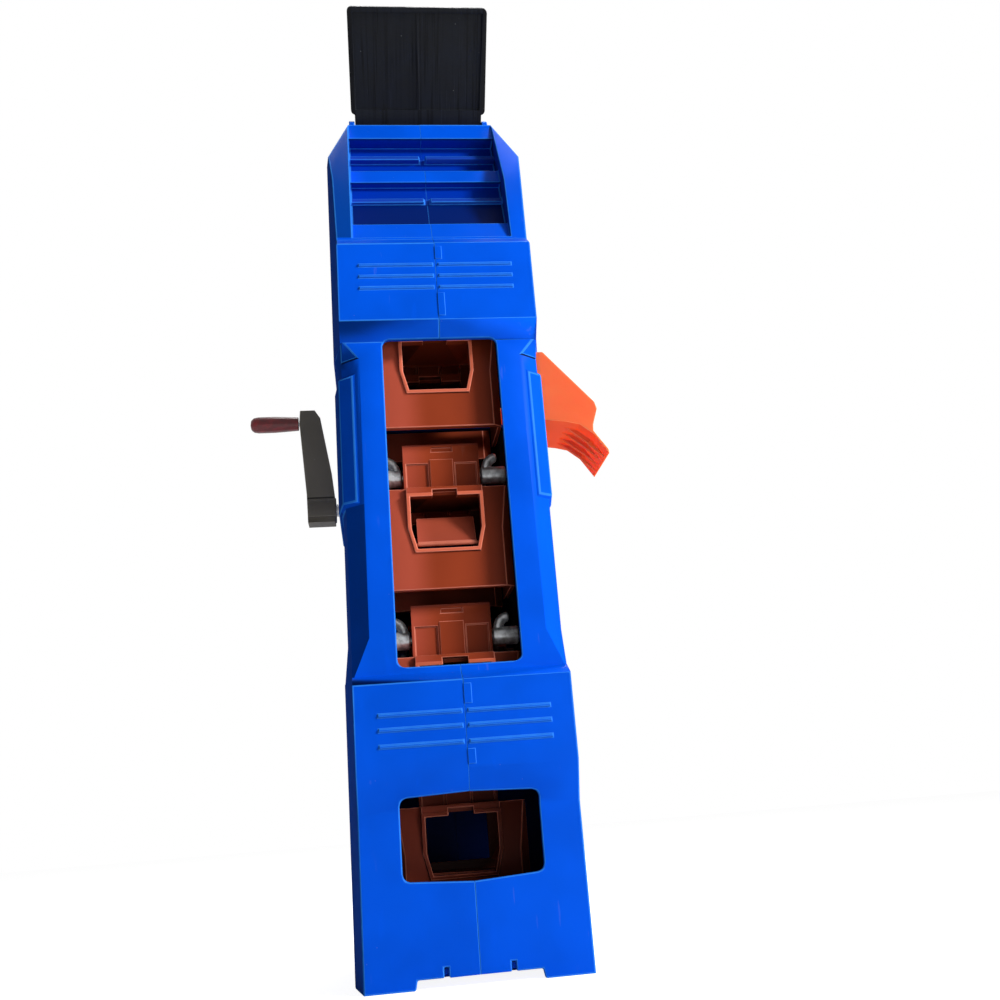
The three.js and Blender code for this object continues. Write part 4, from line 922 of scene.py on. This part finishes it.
def screw_shape(tree, size):
    """Domed screws with a cross recess, their heads and shanks drawn out by the stretch."""

    def dome(share):
        return size["Head radius"] * (1.0 - DOME_FALL * share * share).math("SQRT")

    unit = line_between(tree, (0.0, 0.0, -MM), (0.0, 0.0, 0.0))
    head = rod_along(tree, unit, DOME_STEPS, dome, sides=32)
    for x, y in (("Cross width", "Cross length"), ("Cross length", "Cross width")):
        box = vector_of(tree, size[x], size[y], CROSS_DEPTH)
        inputs = {"Mesh 1": head, "Mesh 2": node(tree, "GeometryNodeMeshCube", {"Size": box})}
        head = node(tree, "GeometryNodeMeshBoolean", inputs, operation="DIFFERENCE")
    shank = rod_along(tree, unit, SHANK_STEPS, lambda share: size["Shank radius"], sides=16)

    outward = {"Vector": attribute_of(tree, "facing")}
    turn = node(tree, "FunctionNodeAlignRotationToVector", outward, axis="Z")
    stretch = attribute_of(tree, "stretch")
    parts = []
    for shape, axis in ((head, "y"), (shank, "z")):
        scale = vector_of(tree, 1.0, 1.0, component(stretch, axis))
        parts.append(set_on(tree, size["Geometry"], shape, turn, scale))
    return together(tree, *parts)


def loop_path(tree, radius, straight):
    """A closed loop over two wheels of this radius, in the y-z plane."""
    place = node(tree, "GeometryNodeInputPosition")
    height = component(place, "y")
    apart = height + straight * 0.5 * height.math("SIGN")
    inputs = {
        "Geometry": ring_path(tree, LOOP_STEPS, radius),
        "Position": vector_of(tree, 0.0, component(place, "x"), apart),
    }
    return node(tree, "GeometryNodeSetPosition", inputs)


def belt_shape(tree, size):
    """A flat band round both wheels with teeth on its inner side."""
    path = loop_path(tree, size["Outer radius"] - 0.5 * size["Band thickness"], size["Straight"])
    inputs = {"Width": size["Width"], "Height": size["Band thickness"]}
    section = node(tree, "GeometryNodeCurvePrimitiveQuadrilateral", inputs, mode="RECTANGLE")
    inputs = {"Curve": path, "Profile Curve": section, "Fill Caps": False}
    band = node(tree, "GeometryNodeCurveToMesh", inputs)

    path = loop_path(tree, size["Inner radius"] + 0.5 * size["Tooth height"], size["Straight"])
    inputs = {"Curve": path, "Length": size["Pitch"]}
    row = node(tree, "GeometryNodeResampleCurve", inputs, mode="LENGTH")
    long, high = size["Pitch"] * TOOTH_SHARE, size["Tooth height"] * TOOTH_ROOT
    box = {"Size": vector_of(tree, size["Width"], long, high)}
    tooth = node(tree, "GeometryNodeMeshCube", box)
    ahead = {"Vector": node(tree, "GeometryNodeInputTangent")}
    turn = node(tree, "FunctionNodeAlignRotationToVector", ahead, axis="Y", pivot_axis="X")
    return set_on(tree, size["Geometry"], together(tree, band, set_on(tree, row, tooth, turn)))


# Settings


def colour(name, text, *channels):
    """A colour of the settings, from its red, green and blue."""
    return bpy.props.FloatVectorProperty(
        name=name, description=text, subtype="COLOR", size=4, min=0.0, max=1.0,
        default=(*channels, 1.0),
    )


def length(name, text, size):
    """A length of the settings, given here in mm."""
    return bpy.props.FloatProperty(
        name=name, description=text, subtype="DISTANCE", unit="LENGTH", default=size * MM
    )


class GarageSettings(bpy.types.PropertyGroup):
    """Sizes and colours of the garage."""

    housing_colour: colour("Housing", "Blue of the two housing halves", 0.0, 0.1, 0.82)
    # A painted highlight on the rounded corners
    housing_edge_colour: colour("Housing corners", "Lighter blue on the corners", 0.04, 0.3, 0.95)
    # Painted shade on the faces towards the crank's side
    crank_side_colour: colour("Crank side", "Darker blue towards the crank", 0.0, 0.02, 0.1)
    # Painted shade in the louvres
    louvre_colour: colour("Louvres", "Deeper blue on the louvres' floors", 0.0, 0.03, 0.42)
    # Painted shade on the cheek left of the louvres
    louvre_cheek_colour: colour("Louvre cheek", "Blue left of the louvres", 0.0, 0.045, 0.25)
    # Painted shade on the slats, lighter than on the floors
    slat_colour: colour("Slats", "Blue of the slats in the louvres", 0.012, 0.06, 0.45)
    # Darker than the chute's orange, partly as painted shade for the carriers inside the housing
    carrier_colour: colour("Carriers", "Orange of the hanging carriers", 0.32, 0.046, 0.0135)
    # Painted light on the carriers' left sides
    carrier_left_colour: colour("Carriers, left", "Orange at their left", 0.5, 0.085, 0.045)
    # Painted shade on the carriers' right sides
    carrier_right_colour: colour("Carriers, right", "Orange at their right", 0.17, 0.024, 0.008)
    # A painted highlight on the carriers' faces that look up
    carrier_ledge_colour: colour("Carriers, ledges", "Rubbed orange on ledges", 0.7, 0.19, 0.15)
    # A painted highlight on the rounded corners
    carrier_edge_colour: colour("Carrier corners", "Lighter orange on corners", 0.95, 0.3, 0.2)
    # A painted highlight on the rims of the openings
    rim_colour: colour("Carrier rims", "Lighter orange round the openings", 0.78, 0.17, 0.09)
    # Painted shade on the bottom carrier behind the lower window
    sunk_colour: colour("Bottom carrier", "Red behind the lower window", 0.07, 0.008, 0.004)
    chute_colour: colour("Chute", "Orange of the side chute", 0.95, 0.17, 0.06)
    # A painted deeper colour on the underside, standing for light through the plastic
    chute_under_colour: colour("Chute underside", "Red-orange below the chute", 1.0, 0.1, 0.02)
    # A painted highlight on the rounded corners
    chute_edge_colour: colour("Chute corners", "Lighter orange on the corners", 1.0, 0.34, 0.2)
    link_colour: colour("Links", "Silver grey of the hanger links", 0.6, 0.62, 0.64)
    arm_colour: colour("Crank arm", "Grey of the crank arm", 0.23, 0.21, 0.175)
    # A painted highlight on the rounded corners
    arm_edge_colour: colour("Crank arm corners", "Lighter grey on corners", 0.414, 0.378, 0.315)
    grip_colour: colour("Grip", "Red of the crank grip", 0.2, 0.008, 0.014)
    deck_colour: colour("Deck", "Black of the landing panel", 0.0055, 0.007, 0.011)
    track_colour: colour("Track", "Black of the guide track", 0.014, 0.015, 0.018)
    belt_colour: colour("Belt", "Black of the belt", 0.018, 0.018, 0.02)
    pulley_colour: colour("Pulleys", "White of the pulleys", 0.68, 0.66, 0.6)
    steel_colour: colour("Steel", "Screws, axles and shaft", 0.56, 0.57, 0.58)
    housing_corner: length("Housing corners", "Rounding of the housing", 0.8)
    carrier_corner: length("Carrier corners", "Rounding of the carriers", 0.5)
    small_corner: length("Small corners", "Rounding of small pieces", 0.35)
    boss_radius: length("Boss radius", "Radius of the links' bosses", 5.5)
    hook_radius: length("Hook radius", "Radius of the links' hooks", 3.0)
    hook_height: length("Hook height", "Height over the axles", 11.2)
    hook_end: length("Hook end", "Reach from the carriers' middle", 35.0)
    tooth_pitch: length("Tooth pitch", "Distance from tooth to tooth", 3.2)
    deck_lean: bpy.props.FloatProperty(
        name="Deck lean", description="How far the panel leans forward from upright",
        subtype="ANGLE", default=0.857,
    )


# Pieces


def middle_of(name):
    """The middle of a CAD node's box."""
    low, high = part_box(name)
    return tuple(0.5 * (start + end) for start, end in zip(low, high))


def body_of(name):
    """The body that a CAD node rides on."""
    return frame["nodes"][name]["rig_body"]


class GARAGE_OT_housing(bpy.types.Operator):
    """Both housing halves with rounded corners, and the base plate"""

    bl_idname = "garage.housing"
    bl_label = "Housing"

    def execute(self, context):
        width = context.scene.garage.housing_corner
        soften_all(("shell_left", "shell_right"), width, "housing_blue", 3)
        coat_nodes(("base_plate",), "housing_blue")
        return {"FINISHED"}


class GARAGE_OT_carriers(bpy.types.Operator):
    """The eight car carriers and the stop flap"""

    bl_idname = "garage.carriers"
    bl_label = "Carriers"

    def execute(self, context):
        looks = context.scene.garage
        names = [f"carrier_{station}" for station in STATIONS]
        soften_all(names, looks.carrier_corner, "carrier_orange")
        soften_all(("stop_flap",), looks.small_corner, "carrier_orange")
        return {"FINISHED"}


class GARAGE_OT_hangers(bpy.types.Operator):
    """The hooked links and the axles that the carriers hang on"""

    bl_idname = "garage.hangers"
    bl_label = "Hangers"

    def execute(self, context):
        looks = context.scene.garage
        centre = middle_of("carrier_bottom")[0]
        right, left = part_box("link_right_bottom"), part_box("link_left_bottom")
        sizes = {
            "Plate start": right[0][0] - centre,
            "Right reach": right[1][0] - centre,
            "Left reach": centre - left[0][0],
            "Boss radius": looks.boss_radius,
            "Rounding": BOSS_ROUNDING,
            "Hook radius": looks.hook_radius,
            "Hook height": looks.hook_height,
            "Hook end": looks.hook_end,
        }
        hung = {}
        for station in STATIONS:
            hung.setdefault(body_of(f"link_right_{station}"), []).append(station)
        for body, stations in hung.items():
            spots = []
            for station in stations:
                name = f"link_right_{station}"
                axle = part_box(name)[0][2] + looks.boss_radius
                spots.append(Spot((centre, middle_of(name)[1], axle)))
            links = grown(f"links_{body}", spots, sizes, link_shape, "link_grey")
            sides = ("left", "right")
            covered = [f"link_{side}_{station}" for side in sides for station in stations]
            dress(links, body, "link_grey", covered)
        coat_nodes([f"hanger_axle_{station}" for station in STATIONS], "link_grey")
        return {"FINISHED"}


class GARAGE_OT_chute(bpy.types.Operator):
    """The side chute with its guards and ribs"""

    bl_idname = "garage.chute"
    bl_label = "Chute"

    def execute(self, context):
        width = context.scene.garage.carrier_corner
        soften_all(("chute",), width, "chute_orange")
        return {"FINISHED"}


class GARAGE_OT_crank(bpy.types.Operator):
    """The crank arm and its grip"""

    bl_idname = "garage.crank"
    bl_label = "Crank"

    def execute(self, context):
        looks = context.scene.garage
        soften_all(("crank_arm",), looks.carrier_corner, "arm_grey", 3)
        soften_all(("crank_grip",), looks.small_corner, "grip_red")
        return {"FINISHED"}


class GARAGE_OT_deck(bpy.types.Operator):
    """The black landing panel on the roof"""

    bl_idname = "garage.deck"
    bl_label = "Deck"

    def execute(self, context):
        width = context.scene.garage.carrier_corner
        soften_all(("deck_flap",), width, "deck_black")
        return {"FINISHED"}


class GARAGE_OT_screws(bpy.types.Operator):
    """The six screws of the housing, with domed heads and cross recesses"""

    bl_idname = "garage.screws"
    bl_label = "Screws"

    def execute(self, context):
        sizes = {
            "Head radius": 3.0 * MM,
            "Cross width": 0.8 * MM,
            "Cross length": 3.4 * MM,
            "Shank radius": 1.5 * MM,
        }
        spots = []
        across = [f"shell_screw_{number}" for number in (1, 2, 3, 4)]
        upright = ["base_screw_left", "base_screw_right"]
        for name in across:
            low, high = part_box(name)
            _, y, z = middle_of(name)
            stretch = (1.0, SHELL_SCREW_HEAD / MM, (high[0] - low[0]) / MM)
            spots.append(Spot((high[0], y, z), (1.0, 0.0, 0.0), stretch))
        for name in upright:
            low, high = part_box(name)
            x, y, _ = middle_of(name)
            stretch = (1.0, BASE_SCREW_HEAD / MM, (high[2] - low[2]) / MM)
            spots.append(Spot((x, y, low[2]), (0.0, 0.0, -1.0), stretch))
        screws = grown("screws", spots, sizes, screw_shape, "steel")
        dress(screws, body_of("shell_screw_1"), "steel", across + upright)
        return {"FINISHED"}


class GARAGE_OT_drive(bpy.types.Operator):
    """The toothed belt, its pulleys, the guide track and the metal pieces"""

    bl_idname = "garage.drive"
    bl_label = "Drive"

    def execute(self, context):
        low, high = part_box("belt")
        outer = 0.5 * (high[1] - low[1])
        sizes = {
            "Outer radius": outer,
            "Inner radius": outer - BELT_DEPTH,
            "Band thickness": 1.0 * MM,
            "Tooth height": 0.6 * MM,
            "Pitch": context.scene.garage.tooth_pitch,
            "Width": high[0] - low[0],
            "Straight": high[2] - low[2] - 2.0 * outer,
        }
        x, _, z = middle_of("belt")
        belt = grown("belt_toothed", [Spot((x, 0.0, z))], sizes, belt_shape, "belt_rubber")
        dress(belt, body_of("belt"), "belt_rubber", ("belt",))
        coat_nodes(("axle_top", "axle_bottom", "drive_shaft", "grip_pin", "deck_rod"), "steel")
        coat_nodes(("pulley_top", "pulley_middle", "pulley_bottom", "shaft_bush"), "pulley_white")
        coat_nodes(("guide_track",), "track_black")
        return {"FINISHED"}


# Stage


CAMERA_PLACE = Vector((-47.072, -647.482, 84.605)) * MM
CAMERA_YAW, CAMERA_PITCH, CAMERA_ROLL = -0.13, 0.287, 0.08
CAMERA_LENS = 37.8
CAMERA_SENSOR = 36.0
CAMERA_NEAR = 10.0 * MM
LAMP_AIM = Vector((0.0, 0.0, 280.0)) * MM
# Each lamp's place and width in mm, and its power in watts
LAMPS = {
    "key": ((1350, -850, 950), 340, 31.0),
    "fill": ((1050, -1300, 110), 700, 6.2),
    "top": ((60, 260, 1350), 500, 4.0),
    "rear": ((600, 1100, 900), 700, 6.0),
}
WORLD_LIGHT = 0.1
FLOOR_HALF = 4.0
FLOOR_GREY = (0.75, 0.75, 0.75, 1.0)
FLOOR_GLOW = 0.9


class GARAGE_OT_stage(bpy.types.Operator):
    """The floor, the soft lamps, the pale background and the camera"""

    bl_idname = "garage.stage"
    bl_label = "Stage"

    def execute(self, context):
        place_camera()
        place_lamps()
        light_world()
        lay_floor()
        context.scene.view_settings.view_transform = "Standard"
        return {"FINISHED"}


def place_camera():
    """The camera of the photo, low in front of the tower and looking up."""
    lens = bpy.data.cameras.new("camera")
    lens.lens = CAMERA_LENS
    lens.sensor_width = CAMERA_SENSOR
    lens.clip_start = CAMERA_NEAR
    camera = put_in("camera", lens)
    turn = Matrix.Rotation(CAMERA_YAW, 3, "Z") @ Matrix.Rotation(CAMERA_PITCH, 3, "X")
    turn = turn @ Matrix.Rotation(CAMERA_ROLL, 3, "Y") @ Matrix.Rotation(math.pi / 2, 3, "X")
    camera.matrix_world = Matrix.LocRotScale(CAMERA_PLACE, turn.to_quaternion(), None)
    bpy.context.scene.camera = camera


def place_lamps():
    """Round soft lamps that all look at the middle of the tower."""
    for name, (place, width, power) in LAMPS.items():
        light = bpy.data.lights.new(name, "AREA")
        light.shape = "DISK"
        light.size = width * MM
        light.energy = power
        piece = put_in(name, light)
        piece.location = Vector(place) * MM
        piece.rotation_euler = (LAMP_AIM - piece.location).to_track_quat("-Z", "Y").to_euler()


def light_world():
    """White where the camera or a reflection looks, softer as a light."""
    world = bpy.data.worlds.new("studio")
    bpy.context.scene.world = world
    tree = emptied(world)
    seen = seen_plainly(tree).math("MINIMUM", 1.0)
    strength = WORLD_LIGHT + (1.0 - WORLD_LIGHT) * seen
    back = node(tree, "ShaderNodeBackground", {"Color": WHITE, "Strength": strength})
    node(tree, "ShaderNodeOutputWorld", {"Surface": back})


def lay_floor():
    """A pale floor that keeps the shadow and meets the background without an edge."""
    mesh = bpy.data.meshes.new("floor")
    sides = ((-1, -1), (1, -1), (1, 1), (-1, 1))
    corners = [(x * FLOOR_HALF, y * FLOOR_HALF, 0.0) for x, y in sides]
    mesh.from_pydata(corners, [], [(0, 1, 2, 3)])
    floor = put_in("floor", mesh)
    material = bpy.data.materials.new("floor_pale")
    tree = emptied(material)
    matt = node(tree, "ShaderNodeBsdfDiffuse", {"Color": FLOOR_GREY})
    inputs = {"Color": WHITE, "Strength": seen_plainly(tree) * FLOOR_GLOW}
    glow = node(tree, "ShaderNodeEmission", inputs)
    both = node(tree, "ShaderNodeAddShader", {0: matt, 1: glow})
    node(tree, "ShaderNodeOutputMaterial", {"Surface": both})
    mesh.materials.append(material)


# Add-on


PIECE_OPERATORS = (
    GARAGE_OT_housing,
    GARAGE_OT_carriers,
    GARAGE_OT_hangers,
    GARAGE_OT_chute,
    GARAGE_OT_crank,
    GARAGE_OT_deck,
    GARAGE_OT_screws,
    GARAGE_OT_drive,
    GARAGE_OT_stage,
)


class GARAGE_PT_panel(bpy.types.Panel):
    """The garage's pieces in the sidebar"""

    bl_idname = "GARAGE_PT_panel"
    bl_label = "Toy parking garage"
    bl_space_type = "VIEW_3D"
    bl_region_type = "UI"
    bl_category = "Garage"

    def draw(self, context):
        for operator in PIECE_OPERATORS:
            self.layout.operator(operator.bl_idname)
        for name in GarageSettings.__annotations__:
            self.layout.prop(context.scene.garage, name)


CLASSES = (GarageSettings, *PIECE_OPERATORS, GARAGE_PT_panel)


def register():
    for cls in CLASSES:
        bpy.utils.register_class(cls)
    bpy.types.Scene.garage = bpy.props.PointerProperty(type=GarageSettings)


def unregister():
    del bpy.types.Scene.garage
    for cls in reversed(CLASSES):
        bpy.utils.unregister_class(cls)


def main():
    register()
    for operator in PIECE_OPERATORS:
        group, name = operator.bl_idname.split(".")
        getattr(getattr(bpy.ops, group), name)()


if __name__ == "__main__":
    main()
